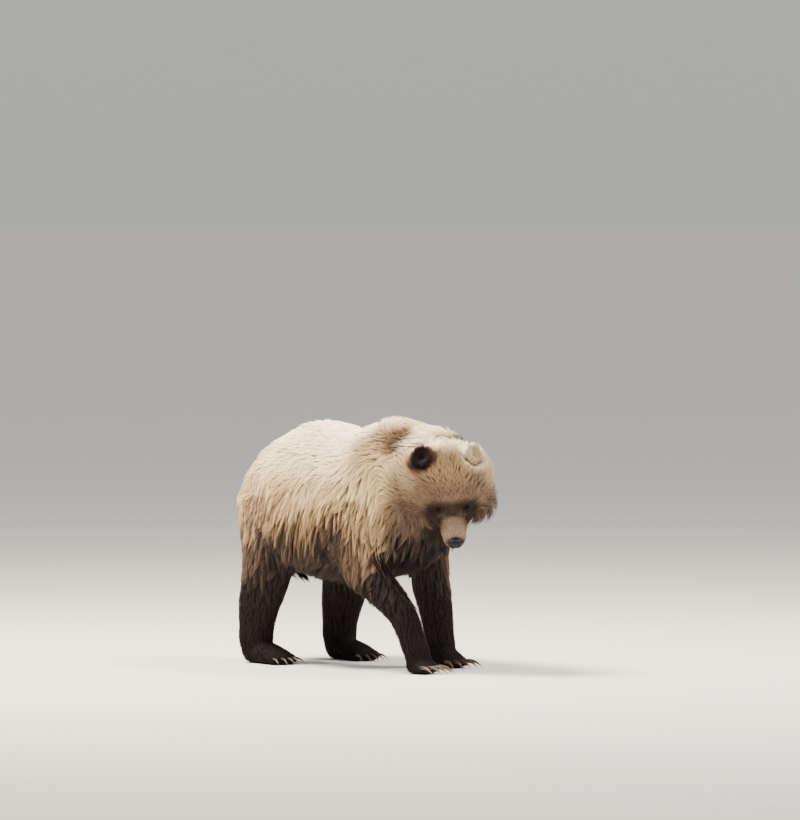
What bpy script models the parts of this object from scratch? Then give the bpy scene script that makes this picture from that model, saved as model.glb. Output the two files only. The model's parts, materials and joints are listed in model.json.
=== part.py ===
"""Grizzly bear, life size: a still model that stands with its head hung low and one forepaw reaching ahead.

The solids give the outline of the coat, out to the tips of the fur. The body is lofted from named stations
along the spine, neck, head and legs, fused into one form, and then parted where a person names its parts.
Metres, +X towards the bear's chest, +Y to its left, +Z up.
"""

import math

import bmesh
import bpy
from mathutils import Matrix, Vector
from mathutils.bvhtree import BVHTree

# ---------------------------------------------------------------- driving dimensions

HUMP_HEIGHT = 1.00  # floor to the top of the shoulder hump, fur included
HIP_X = 0.0  # hind legs, along the body
SHOULDER_X = 0.62  # forelegs, along the body
LEG_Y = 0.20  # each leg's foot, out from the midline
HIND_STEP = {"left": 0.035, "right": -0.010}  # each hind foot, ahead of the hip

NOSE_TIP = Vector((1.055, -0.078, 0.510))
HEAD_YAW = math.radians(-31)  # the head is turned to the bear's right
HEAD_PITCH = math.radians(59)  # the muzzle hangs this far below the horizontal
HEAD_ROLL = math.radians(9)  # the right ear is lower than the left

# Places on the head are on its own axes: ahead along the muzzle, to its left, and up over the forehead.
# Their origin is the tip of the nose.
NOSE_PLACE = Vector((-0.012, 0.0, 0.006))
NOSE_RADII = (0.018, 0.028, 0.022)
EYE_PLACE = Vector((-0.150, 0.0585, 0.050))  # the left eye, before it is set in the fur
EYE_RADIUS = 0.0125
EYE_RISE = 0.004  # an eye stands this far out of the fur round it
EYE_OUTWARD = Vector((0.45, 0.80, 0.40))  # the way the left eye looks
EAR_PLACE = Vector((-0.318, 0.103, 0.164))  # middle of the left ear
EAR_RADIUS = 0.062
EAR_THICKNESS = 0.030
EAR_TURN = math.radians(36)  # each cup faces this far outwards
EAR_LEAN = math.radians(14)  # and its tip leans this far outwards
EAR_TIP_BACK = math.radians(12)

TAIL_PLACE = Vector((-0.262, 0.0, 0.690))
TAIL_SWING = math.radians(14)  # the tail's tip stands off the rump by this much

TOE_SPREAD = 0.0265  # from one toe to the next
TOE_BACK = (0.018, 0.004, 0.0, 0.004, 0.018)  # how far each toe lies behind the middle one
TOE_SPLAY = math.radians(7)  # from one toe's heading to the next
CLAW_SIZES = {"fore": (0.066, 0.0060), "hind": (0.040, 0.0055)}  # length past the toe, radius at the root
CLAW_BURIED = 0.022  # length of a claw inside its toe
CLAW_ROOT_HEIGHT = 0.024
CLAW_ARCH = 0.006  # rise of the claw's back over its chord
CLAW_DROP = 0.021  # the tip hangs this far below the root
CLAW_STEPS = 3  # lengths in a claw's curve
CLAW_SIDES = 6

NECK_PLACE = Vector((0.785, 0.0, 0.750))  # on the cut between trunk and neck
NECK_LEAN = math.radians(11)  # that cut leans back at its top
HEAD_CUT = -0.345  # on the head's axis ahead, where the head meets the neck
HEAD_CUT_LEAN = math.radians(16)  # that cut reaches back at its top, behind the ears
MUZZLE_CUT = -0.112
JAW_BACK = -0.170
JAW_HALF_WIDTH = 0.068
MOUTH_LINE = -0.046  # height of the mouth on the head's axes
PAW_TOP = 0.115  # height of a paw above the floor

FUSE_VOXEL = 0.0075  # grid on which the flesh is fused
FUSE_SMOOTHING = 9  # passes that blend one form into the next
BODY_TRIANGLES = 3000  # the whole fused body, before it is parted
CUT = 0.0006  # width of the cuts that part the body
GAP = 0.0004  # clearance of a claw, an eye or the nose in its socket
RING = 28  # points round a lofted section
REGION_POWER = 2.3  # squareness of the rough solids that say where a limb is parted
REGION_RING = 10  # points round one of them


def head_matrix():
    """World matrix of the head's axes."""
    turn = Matrix.Rotation(HEAD_YAW, 4, "Z") @ Matrix.Rotation(HEAD_PITCH, 4, "Y")
    return Matrix.Translation(NOSE_TIP) @ turn @ Matrix.Rotation(HEAD_ROLL, 4, "X")


HEAD = head_matrix()


def mirrored(place, side):
    """The place on the left for a side of 1, and its mirror image on the right for -1."""
    return Vector((place.x, place.y * side, place.z))


def ear_frame(side):
    """World matrix of an ear, upright although the head hangs: +X out of its cup, +Z from root to tip."""
    turn = Matrix.Rotation(HEAD_YAW + EAR_TURN * side, 4, "Z") @ Matrix.Rotation(-EAR_LEAN * side, 4, "X")
    place = Matrix.Translation(HEAD @ mirrored(EAR_PLACE, side))
    return place @ turn @ Matrix.Rotation(-EAR_TIP_BACK, 4, "Y")


# ---------------------------------------------------------------- materials

COLOURS = {  # slot: (red, green, blue), roughness
    "fur_blond": ((0.72, 0.58, 0.42), 0.8),
    "fur_brown": ((0.33, 0.22, 0.15), 0.8),
    "fur_dark": ((0.09, 0.065, 0.055), 0.8),
    "nose_leather": ((0.03, 0.025, 0.028), 0.4),
    "eye": ((0.05, 0.025, 0.012), 0.1),
    "claw_horn": ((0.20, 0.15, 0.10), 0.4),
}


def material(slot):
    """The named material, made the first time it is asked for."""
    if slot in bpy.data.materials:
        return bpy.data.materials[slot]
    colour, roughness = COLOURS[slot]
    made = bpy.data.materials.new(slot)
    made.use_nodes = True
    shader = made.node_tree.nodes["Principled BSDF"]
    shader.inputs["Base Color"].default_value = (*colour, 1.0)
    shader.inputs["Roughness"].default_value = roughness
    shader.inputs["Metallic"].default_value = 0.0
    return made


# ---------------------------------------------------------------- helpers


def new_object(name, mesh, collection):
    made = bpy.data.objects.new(name, mesh)
    collection.objects.link(made)
    return made


def evaluated_mesh(obj):
    """A copy of the object's mesh with its modifiers applied."""
    bpy.context.view_layer.update()
    graph = bpy.context.evaluated_depsgraph_get()
    return bpy.data.meshes.new_from_object(obj.evaluated_get(graph), depsgraph=graph)


def apply_modifiers(obj):
    old = obj.data
    obj.data = evaluated_mesh(obj)
    obj.modifiers.clear()
    bpy.data.meshes.remove(old)


def add_ring(bm, centre, across, upward, half_width, up, down, power, points):
    """A closed ring of vertices: a superellipse whose upper and lower halves have heights of their own."""
    ring = []
    for i in range(points):
        angle = 2 * math.pi * i / points
        c, s = math.cos(angle), math.sin(angle)
        wide = math.copysign(abs(c) ** (2 / power), c) * half_width
        high = math.copysign(abs(s) ** (2 / power), s) * (up if s > 0 else down)
        ring.append(bm.verts.new(centre + across * wide + upward * high))
    return ring


def close_loft(bm, rings):
    """Skins the rings in order and closes both ends with a fan."""
    points = len(rings[0])
    for a, b in zip(rings, rings[1:]):
        for i in range(points):
            j = (i + 1) % points
            bm.faces.new((a[i], a[j], b[j], b[i]))
    for ring in (rings[0], rings[-1]):
        middle = bm.verts.new(sum((v.co for v in ring), Vector()) / points)
        for i in range(points):
            bm.faces.new((middle, ring[i], ring[(i + 1) % points]))
    bmesh.ops.triangulate(bm, faces=bm.faces, quad_method="FIXED")
    bmesh.ops.recalc_face_normals(bm, faces=bm.faces)


def finish_mesh(bm, name):
    mesh = bpy.data.meshes.new(name)
    bm.to_mesh(mesh)
    bm.free()
    return mesh


def sections(name, stations, placed=Matrix.Identity(4), points=RING):
    """A loft of upright sections.

    A station is (x, top, bottom, height of the widest place, half width, power of the superellipse).
    """
    bm = bmesh.new()
    rings = []
    for x, top, bottom, widest, half_width, power in stations:
        centre = Vector((x, 0.0, widest))
        across, upward = Vector((0, 1, 0)), Vector((0, 0, 1))
        up, down = top - widest, widest - bottom
        rings.append(add_ring(bm, centre, across, upward, half_width, up, down, power, points))
    close_loft(bm, rings)
    bmesh.ops.transform(bm, matrix=placed, verts=bm.verts)
    return finish_mesh(bm, name)


def limb(name, stations, points=RING):
    """A loft along a bent path. A station is (centre, half width sideways, half depth fore and aft)."""
    side = Vector((0, 1, 0))
    bm = bmesh.new()
    centres = [Vector(s[0]) for s in stations]
    rings = []
    for i, (_, half_width, half_depth) in enumerate(stations):
        before, after = centres[max(i - 1, 0)], centres[min(i + 1, len(centres) - 1)]
        along = (after - before).normalized()
        front = along.cross(side).normalized()
        across = front.cross(along).normalized()
        ring = add_ring(bm, centres[i], across, front, half_width, half_depth, half_depth, 2.0, points)
        rings.append(ring)
    close_loft(bm, rings)
    return finish_mesh(bm, name)


def ellipsoid(name, centre, radii, turn=Matrix.Identity(4), segments=24, rings=16):
    bm = bmesh.new()
    bmesh.ops.create_uvsphere(bm, u_segments=segments, v_segments=rings, radius=1.0)
    placed = Matrix.Translation(centre) @ turn @ Matrix.Diagonal((*radii, 1.0))
    bmesh.ops.transform(bm, matrix=placed, verts=bm.verts)
    return finish_mesh(bm, name)


def on_head(forward, left, up):
    """World place of a point given on the head's axes."""
    return HEAD @ Vector((forward, left, up))


def turn_of(matrix):
    """The rotation alone."""
    return matrix.to_3x3().to_4x4()


# ---------------------------------------------------------------- the forms of the body


def trunk_forms():
    stations = [  # x, top, bottom and widest place as shares of the hump's height, half width, power
        (-0.250, 0.740, 0.560, 0.650, 0.080, 2.0),
        (-0.232, 0.785, 0.500, 0.645, 0.125, 2.0),
        (-0.190, 0.826, 0.450, 0.630, 0.175, 2.0),
        (-0.120, 0.882, 0.405, 0.610, 0.225, 2.0),
        (-0.040, 0.930, 0.375, 0.595, 0.262, 2.0),
        (0.060, 0.966, 0.360, 0.580, 0.288, 2.05),
        (0.150, 0.986, 0.350, 0.575, 0.302, 2.1),
        (0.260, 0.975, 0.345, 0.575, 0.310, 2.2),
        (0.370, 0.955, 0.345, 0.575, 0.308, 2.2),
        (0.460, 0.962, 0.350, 0.580, 0.302, 2.2),
        (0.540, 0.990, 0.362, 0.590, 0.294, 2.1),
        (0.620, 1.006, 0.380, 0.605, 0.284, 2.1),
        (0.700, 0.998, 0.410, 0.630, 0.268, 2.0),
        (0.770, 0.982, 0.460, 0.670, 0.240, 2.0),
        (0.830, 0.955, 0.540, 0.720, 0.205, 2.0),
        (0.870, 0.910, 0.640, 0.760, 0.150, 2.0),
    ]
    h = HUMP_HEIGHT
    sized = [(x, top * h, low * h, mid * h, half, power) for x, top, low, mid, half, power in stations]
    return [sections("trunk", sized)]


def neck_forms():
    stations = [  # centre, half width, half depth
        ((0.620, 0.000, 0.755), 0.250, 0.230),
        ((0.710, 0.000, 0.772), 0.235, 0.215),
        ((0.790, 0.004, 0.782), 0.218, 0.194),
        ((0.860, 0.014, 0.786), 0.208, 0.182),
        ((0.910, 0.020, 0.794), 0.198, 0.176),
    ]
    return [limb("neck", stations)]


def head_forms():
    stations = [  # forward, top, bottom, widest at, half width, power
        (-0.004, 0.018, -0.022, -0.002, 0.022, 2.0),
        (-0.018, 0.032, -0.048, -0.004, 0.040, 2.2),
        (-0.045, 0.040, -0.068, -0.010, 0.050, 2.4),
        (-0.085, 0.044, -0.078, -0.016, 0.054, 2.4),
        (-0.120, 0.050, -0.088, -0.020, 0.060, 2.3),
        (-0.150, 0.072, -0.098, -0.016, 0.088, 2.2),
        (-0.180, 0.106, -0.108, -0.004, 0.124, 2.1),
        (-0.215, 0.136, -0.118, 0.008, 0.152, 2.1),
        (-0.255, 0.156, -0.124, 0.014, 0.168, 2.1),
        (-0.300, 0.174, -0.128, 0.018, 0.174, 2.1),
        (-0.345, 0.184, -0.128, 0.018, 0.168, 2.0),
        (-0.385, 0.178, -0.120, 0.014, 0.145, 2.0),
        (-0.410, 0.110, -0.090, 0.010, 0.100, 2.0),
    ]
    forms = [sections("skull", stations, HEAD)]
    for side in (1, -1):
        cheek = on_head(-0.250, 0.108 * side, -0.035)
        brow = on_head(-0.185, 0.070 * side, 0.068)
        forms.append(ellipsoid("cheek", cheek, (0.085, 0.072, 0.078), turn_of(HEAD)))
        forms.append(ellipsoid("brow", brow, (0.040, 0.050, 0.034), turn_of(HEAD)))
    return forms


def hind_leg_forms(side, step):
    """side is 1 for the left leg, step moves the whole foot along the body."""
    y, x = LEG_Y * side, HIP_X + step
    stations = [  # centre, half width, half depth
        ((HIP_X + 0.02, 0.150 * side, 0.680), 0.130, 0.190),
        ((x + 0.035, 0.168 * side, 0.560), 0.128, 0.172),
        ((x + 0.040, 0.184 * side, 0.450), 0.116, 0.142),
        ((x + 0.015, 0.194 * side, 0.350), 0.102, 0.112),
        ((x - 0.015, 0.200 * side, 0.250), 0.092, 0.092),
        ((x - 0.035, y, 0.160), 0.078, 0.078),
        ((x - 0.040, y, 0.085), 0.068, 0.074),
        ((x - 0.036, y, 0.030), 0.055, 0.062),
    ]
    sole = [  # centre, half width, half depth
        ((x - 0.085, y, 0.044), 0.040, 0.040),
        ((x - 0.040, y, 0.042), 0.056, 0.052),
        ((x + 0.060, y, 0.038), 0.066, 0.046),
        ((x + 0.120, y, 0.028), 0.068, 0.034),
    ]
    return [limb("hind_leg", stations), limb("hind_sole", sole)]


FORE_PATHS = {  # each foreleg from the shoulder down: (ahead of the shoulder, y, z), half width, half depth
    "left": [
        ((-0.020, 0.150, 0.660), 0.125, 0.150),
        ((-0.048, 0.178, 0.550), 0.113, 0.122),
        ((-0.060, 0.190, 0.450), 0.098, 0.100),
        ((-0.042, 0.195, 0.350), 0.085, 0.088),
        ((-0.016, 0.198, 0.250), 0.074, 0.076),
        ((0.002, 0.200, 0.160), 0.067, 0.067),
        ((0.012, 0.200, 0.090), 0.064, 0.064),
        ((0.018, 0.200, 0.030), 0.055, 0.058),
    ],
    "right": [
        ((0.010, -0.150, 0.660), 0.125, 0.165),
        ((-0.014, -0.180, 0.560), 0.116, 0.145),
        ((-0.020, -0.198, 0.470), 0.102, 0.122),
        ((0.016, -0.196, 0.405), 0.088, 0.098),
        ((0.085, -0.180, 0.345), 0.078, 0.080),
        ((0.150, -0.162, 0.288), 0.070, 0.070),
        ((0.198, -0.146, 0.228), 0.066, 0.062),
        ((0.226, -0.134, 0.160), 0.064, 0.054),
        ((0.248, -0.124, 0.090), 0.062, 0.046),
        ((0.264, -0.118, 0.040), 0.056, 0.038),
    ],
}
FORE_TOES = {  # the middle toe of each forepaw, ahead of the shoulder, and the paw's heading
    "left": (Vector((0.115, 0.200, 0.0)), 0.0),
    "right": (Vector((0.305, -0.104, 0.0)), math.radians(14)),
}


def foreleg_forms(name):
    shoulder = Vector((SHOULDER_X, 0, 0))
    path = [(shoulder + Vector(place), width, depth) for place, width, depth in FORE_PATHS[name]]
    middle, heading = FORE_TOES[name]
    turn = Matrix.Rotation(heading, 4, "Z")
    middle = shoulder + middle
    palm = [  # centre, half width, half depth
        (middle + turn @ Vector((-0.085, 0.0, 0.044)), 0.054, 0.044),
        (middle + turn @ Vector((-0.045, 0.0, 0.036)), 0.066, 0.042),
        (middle + turn @ Vector((-0.010, 0.0, 0.026)), 0.066, 0.032),
    ]
    forms = [limb("foreleg", path), limb("palm", palm)]
    if name == "left":
        forms.append(ellipsoid("heel", middle + Vector((-0.115, 0.0, 0.036)), (0.050, 0.050, 0.048)))
    return forms


def toe_frames(middle, heading):
    """World matrix of each of the five toes: +X points where the toe points."""
    turn = Matrix.Rotation(heading, 4, "Z")
    frames = []
    for i, back in enumerate(TOE_BACK):
        across = (i - 2) * TOE_SPREAD
        splay = Matrix.Rotation(TOE_SPLAY * (i - 2), 4, "Z")
        frames.append(Matrix.Translation(middle) @ turn @ Matrix.Translation((-back, across, 0)) @ splay)
    return frames


def toe_forms(frames):
    forms = []
    for frame in frames:
        forms.append(ellipsoid("toe", frame @ Vector((0, 0, 0.022)), (0.032, 0.0165, 0.024), turn_of(frame)))
    return forms


def tail_forms():
    return [ellipsoid("tail", TAIL_PLACE, (0.038, 0.040, 0.078), Matrix.Rotation(TAIL_SWING, 4, "Y"))]


def ear_forms():
    forms = []
    for side in (1, -1):
        radii = (EAR_THICKNESS / 2, EAR_RADIUS, EAR_RADIUS)
        forms.append(ellipsoid("ear", ear_frame(side) @ Vector(), radii, turn_of(ear_frame(side))))
    return forms


# ---------------------------------------------------------------- fusing


def fuse(meshes, name, collection):
    """One closed, blended form from overlapping closed meshes."""
    bm = bmesh.new()
    for mesh in meshes:
        bm.from_mesh(mesh)
        bpy.data.meshes.remove(mesh)
    obj = new_object(name, finish_mesh(bm, name), collection)
    remesh = obj.modifiers.new("fuse", "REMESH")
    remesh.mode = "VOXEL"
    remesh.voxel_size = FUSE_VOXEL
    smooth = obj.modifiers.new("blend", "SMOOTH")
    smooth.factor = 0.5
    smooth.iterations = FUSE_SMOOTHING
    apply_modifiers(obj)
    return obj


def weight_flat_forms(obj):
    """A vertex group that lets the trunk and legs thin out more than the head."""
    group = obj.vertex_groups.new(name="plain")
    for vertex in obj.data.vertices:
        on_the_head = (HEAD.inverted() @ vertex.co).x > HEAD_CUT
        group.add([vertex.index], 0.35 if on_the_head else 1.0, "REPLACE")


def thin_out(obj):
    """Fewer triangles, most of them kept where the form turns."""
    weight_flat_forms(obj)
    decimate = obj.modifiers.new("thin", "DECIMATE")
    decimate.ratio = BODY_TRIANGLES / (2 * len(obj.data.polygons))
    decimate.vertex_group = "plain"
    decimate.use_collapse_triangulate = True
    apply_modifiers(obj)
    obj.vertex_groups.clear()


# ---------------------------------------------------------------- claws, eyes, nose


def claw_mesh(frame, kind, grow):
    """A curved, tapering claw out of the toe's tip. grow widens it for its socket."""
    length, radius = CLAW_SIZES[kind]
    root = Vector((0.004 - grow, 0, CLAW_ROOT_HEIGHT))
    bm = bmesh.new()
    rings = []
    for i in range(CLAW_STEPS + 1):
        t = i / CLAW_STEPS
        along = t * (CLAW_BURIED + length)
        centre = root + Vector((along, 0, CLAW_ARCH * math.sin(math.pi * t * 0.9) - t * t * CLAW_DROP))
        size = radius * (1 - 0.80 * t**1.6) + grow
        ring = []
        for j in range(CLAW_SIDES):
            angle = 2 * math.pi * j / CLAW_SIDES
            around = Vector((0, math.cos(angle), 1.25 * math.sin(angle)))
            ring.append(bm.verts.new(centre + size * around))
        rings.append(ring)
    for a, b in zip(rings, rings[1:]):
        for j in range(CLAW_SIDES):
            k = (j + 1) % CLAW_SIDES
            bm.faces.new((a[j], a[k], b[k], b[j]))
    bm.faces.new(rings[0])
    bm.faces.new(rings[-1])
    bmesh.ops.recalc_face_normals(bm, faces=bm.faces)
    bmesh.ops.transform(bm, matrix=frame, verts=bm.verts)
    return finish_mesh(bm, "claw")


def nose_mesh(grow):
    radii = (NOSE_RADII[0] + grow, NOSE_RADII[1] + grow, NOSE_RADII[2] + grow)
    return ellipsoid("nose", HEAD @ NOSE_PLACE, radii, turn_of(HEAD), segments=12, rings=8)


def eye_mesh(centre, grow):
    radius = EYE_RADIUS + grow
    return ellipsoid("eye", centre, (radius, radius, radius), turn_of(HEAD), segments=12, rings=8)


def eye_centre(side, surface):
    """The eye's centre, set so that its front stands just out of the surface."""
    outward = (turn_of(HEAD) @ mirrored(EYE_OUTWARD, side)).normalized()
    inside = HEAD @ mirrored(EYE_PLACE, side) - outward * 3 * EYE_RADIUS
    hit = surface.ray_cast(inside, outward)[0]
    return hit - outward * (EYE_RADIUS - EYE_RISE)


# ---------------------------------------------------------------- parting


def box_mesh(low, high, placed=Matrix.Identity(4)):
    bm = bmesh.new()
    bmesh.ops.create_cube(bm, size=1.0)
    low, high = Vector(low), Vector(high)
    size = Matrix.Diagonal((*(high - low), 1.0))
    bmesh.ops.transform(bm, matrix=placed @ Matrix.Translation((low + high) / 2) @ size, verts=bm.verts)
    return finish_mesh(bm, "box")


def boolean(obj, mesh, operation, collection):
    """Applies one Boolean with the mesh, which is used up."""
    cutter = new_object("cutter", mesh, collection)
    cutter.hide_render = True
    cutter.display_type = "WIRE"
    modifier = obj.modifiers.new("cut", "BOOLEAN")
    modifier.operation = operation
    modifier.solver = "EXACT"
    modifier.object = cutter
    apply_modifiers(obj)
    bpy.data.objects.remove(cutter)
    bpy.data.meshes.remove(mesh)


def part_off(source, name, slot, region, collection, cutters):
    """Moves what lies in the region out of the source into a new object, with a thin cut between them.

    region is a function of a growth: the region itself at 0, and a little larger for the cut.
    """
    piece = new_object(name, source.data.copy(), collection)
    boolean(piece, region(0.0), "INTERSECT", cutters)
    boolean(source, region(CUT), "DIFFERENCE", cutters)
    dress(piece, slot)
    return piece


def dress(obj, slot):
    obj.data.materials.clear()
    obj.data.materials.append(material(slot))


def pillar(stations, grow):
    """A rough solid of level ovals, from the top. A station is (height, x, y, half length, half width)."""
    bm = bmesh.new()
    rings = []
    last = len(stations) - 1
    for i, (z, x, y, half_length, half_width) in enumerate(stations):
        z += grow if i == 0 else -grow if i == last else 0.0
        across, ahead = half_width + grow, half_length + grow
        centre = Vector((x, y, z))
        sideways, forward = Vector((0, 1, 0)), Vector((1, 0, 0))
        oval = (across, ahead, ahead, REGION_POWER, REGION_RING)
        rings.append(add_ring(bm, centre, sideways, forward, *oval))
    close_loft(bm, rings)
    return finish_mesh(bm, "region")


def hind_leg_region(side):
    y = 0.196 * side
    stations = [
        (0.790, 0.030, y, 0.060, 0.050),
        (0.755, 0.030, y, 0.140, 0.115),
        (0.660, 0.030, y, 0.200, 0.155),
        (0.500, 0.030, y, 0.230, 0.168),
        (-0.050, 0.030, y, 0.270, 0.170),
    ]
    return lambda grow: pillar(stations, grow)


def foreleg_region(name):
    top = [
        (0.760, 0.615, 0.190, 0.060, 0.050),
        (0.725, 0.615, 0.190, 0.115, 0.095),
        (0.630, 0.605, 0.195, 0.155, 0.138),
    ]
    if name == "left":
        stations = top + [(0.500, 0.600, 0.200, 0.185, 0.162), (-0.050, 0.640, 0.200, 0.230, 0.165)]
    else:
        reach = [
            (0.500, 0.600, -0.200, 0.185, 0.162),
            (0.430, 0.630, -0.195, 0.190, 0.165),
            (0.370, 0.710, -0.175, 0.245, 0.170),
            (-0.050, 0.780, -0.150, 0.300, 0.175),
        ]
        stations = [(z, x, -y, length, width) for z, x, y, length, width in top] + reach
    return lambda grow: pillar(stations, grow)


def head_region(grow):
    """Everything ahead of a plane that runs from behind the ears down to the throat."""
    stations = [
        (HEAD_CUT - grow, 0.300, -0.185, 0.040, 0.270, REGION_POWER),
        (-0.250, 0.300, -0.185, 0.040, 0.270, REGION_POWER),
        (-0.150, 0.200, -0.180, 0.010, 0.200, REGION_POWER),
        (0.050, 0.120, -0.170, 0.000, 0.120, REGION_POWER),
    ]
    wider = [(x, top + grow, low - grow, mid, half + grow, p) for x, top, low, mid, half, p in stations]
    hinge = Matrix.Translation((HEAD_CUT, 0, 0))
    placed = HEAD @ hinge @ Matrix.Rotation(-HEAD_CUT_LEAN, 4, "Y") @ hinge.inverted()
    return sections("region", wider, placed, REGION_RING)


def ear_region(side):
    frame = ear_frame(side)

    def region(grow):
        radii = (0.055 + grow, EAR_RADIUS * 1.35 + grow, EAR_RADIUS * 1.25 + grow)
        return ellipsoid("region", frame @ Vector((0, 0, EAR_RADIUS * 0.62)), radii, turn_of(frame), 16, 10)

    return region


def muzzle_region(grow):
    return box_mesh((MUZZLE_CUT - grow, -0.150, MOUTH_LINE - grow), (0.060, 0.150, 0.150), HEAD)


def jaw_region(grow):
    half = JAW_HALF_WIDTH + grow
    return box_mesh((JAW_BACK - grow, -half, -0.160), (0.060, half, MOUTH_LINE + grow), HEAD)


def tail_region(grow):
    placed = Matrix.Translation(TAIL_PLACE) @ Matrix.Rotation(TAIL_SWING, 4, "Y")
    return box_mesh((-0.100, -0.075, -0.120), (0.002 + grow, 0.075, 0.120), placed)


def neck_region(grow):
    placed = Matrix.Translation(NECK_PLACE) @ Matrix.Rotation(-NECK_LEAN, 4, "Y")
    return box_mesh((0.0 - grow, -0.400, -0.450), (0.600, 0.400, 0.450), placed)


def paw_region(grow):
    return box_mesh((-1.0, -1.0, -0.050), (2.0, 1.0, PAW_TOP + grow))


# ---------------------------------------------------------------- the bear


def make_bear():
    for obj in list(bpy.data.objects):
        bpy.data.objects.remove(obj)
    bear = bpy.data.collections.new("grizzly_bear")
    cutters = bpy.data.collections.new("cutters")
    for collection in (bear, cutters):
        bpy.context.scene.collection.children.link(collection)

    toes = {}
    for name, side in (("left", 1), ("right", -1)):
        middle, heading = FORE_TOES[name]
        toes["fore", name] = toe_frames(Vector((SHOULDER_X, 0, 0)) + middle, heading)
        toes["hind", name] = toe_frames(Vector((HIP_X + HIND_STEP[name] + 0.145, LEG_Y * side, 0.0)), 0.0)

    forms = trunk_forms() + neck_forms() + head_forms() + tail_forms() + ear_forms()
    for name, side in (("left", 1), ("right", -1)):
        forms += hind_leg_forms(side, HIND_STEP[name]) + foreleg_forms(name)
    for frames in toes.values():
        forms += toe_forms(frames)
    body = fuse(forms, "trunk", bear)
    thin_out(body)

    surface = BVHTree.FromObject(body, bpy.context.evaluated_depsgraph_get())
    eyes = {name: eye_centre(side, surface) for name, side in (("left", 1), ("right", -1))}

    boolean(body, box_mesh((-1, -1, -0.2), (2, 1, 0)), "DIFFERENCE", cutters)
    for side in (1, -1):
        hollow = ear_frame(side) @ Vector((EAR_THICKNESS * 0.62, 0, EAR_RADIUS * 0.12))
        radii = (EAR_THICKNESS * 0.53, EAR_RADIUS * 0.62, EAR_RADIUS * 0.66)
        cup = ellipsoid("cup", hollow, radii, turn_of(ear_frame(side)), 12, 8)
        boolean(body, cup, "DIFFERENCE", cutters)

    make_and_seat(body, "nose", "nose_leather", nose_mesh, bear, cutters)
    for name, centre in eyes.items():
        make_and_seat(body, f"eye_{name}", "eye", lambda grow, c=centre: eye_mesh(c, grow), bear, cutters)
    for (kind, name), frames in toes.items():
        for i, frame in enumerate(frames):
            label = f"claw_{kind}_{name}_{i + 1}"
            shape = lambda grow, f=frame, k=kind: claw_mesh(f, k, grow)
            make_and_seat(body, label, "claw_horn", shape, bear, cutters)

    head = part_off(body, "head", "fur_blond", head_region, bear, cutters)
    for name, side in (("left", 1), ("right", -1)):
        part_off(head, f"ear_{name}", "fur_dark", ear_region(side), bear, cutters)
    part_off(head, "lower_jaw", "fur_brown", jaw_region, bear, cutters)
    part_off(head, "muzzle", "fur_blond", muzzle_region, bear, cutters)
    for name, side in (("left", 1), ("right", -1)):
        leg = part_off(body, f"hindleg_{name}", "fur_brown", hind_leg_region(side), bear, cutters)
        part_off(leg, f"hindpaw_{name}", "fur_dark", paw_region, bear, cutters)
        leg = part_off(body, f"foreleg_{name}", "fur_brown", foreleg_region(name), bear, cutters)
        part_off(leg, f"forepaw_{name}", "fur_dark", paw_region, bear, cutters)
    part_off(body, "tail", "fur_brown", tail_region, bear, cutters)
    part_off(body, "neck", "fur_blond", neck_region, bear, cutters)
    dress(body, "fur_blond")
    settle(bear)


def make_and_seat(body, name, slot, shape, collection, cutters):
    """A separate piece, and the socket it sits in."""
    piece = new_object(name, shape(0.0), collection)
    dress(piece, slot)
    boolean(body, shape(GAP), "DIFFERENCE", cutters)


def settle(collection):
    """Puts the origin under the middle of the bear's box, on the floor."""
    corners = [v.co for obj in collection.objects for v in obj.data.vertices]
    low = Vector(min(c[i] for c in corners) for i in range(3))
    high = Vector(max(c[i] for c in corners) for i in range(3))
    shift = Matrix.Translation((-(low.x + high.x) / 2, -(low.y + high.y) / 2, -low.z))
    for obj in collection.objects:
        obj.data.transform(shift)
        obj.data.update()


make_bear()
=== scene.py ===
# %% [markdown]
# # A grizzly bear, life size
# The museum kind of model: one rigid animal, seen from every side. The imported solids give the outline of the
# coat, and the tips of long tufts hang up to a few centimetres past it on the belly, the flanks and the head.
# This script makes what the eye meets: one skin under the coat, the coat itself as many thousands of small
# solid tufts, and the eyes, the nose and the claws as pieces of their own. Everything is in metres, in the
# solids' own frame, so each piece goes where the solids say.

# %% Load the frame
import json
import math

import bmesh
import bpy
import numpy as np
from mathutils import Matrix, Vector
from mathutils.bvhtree import BVHTree
from mathutils.kdtree import KDTree

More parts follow.
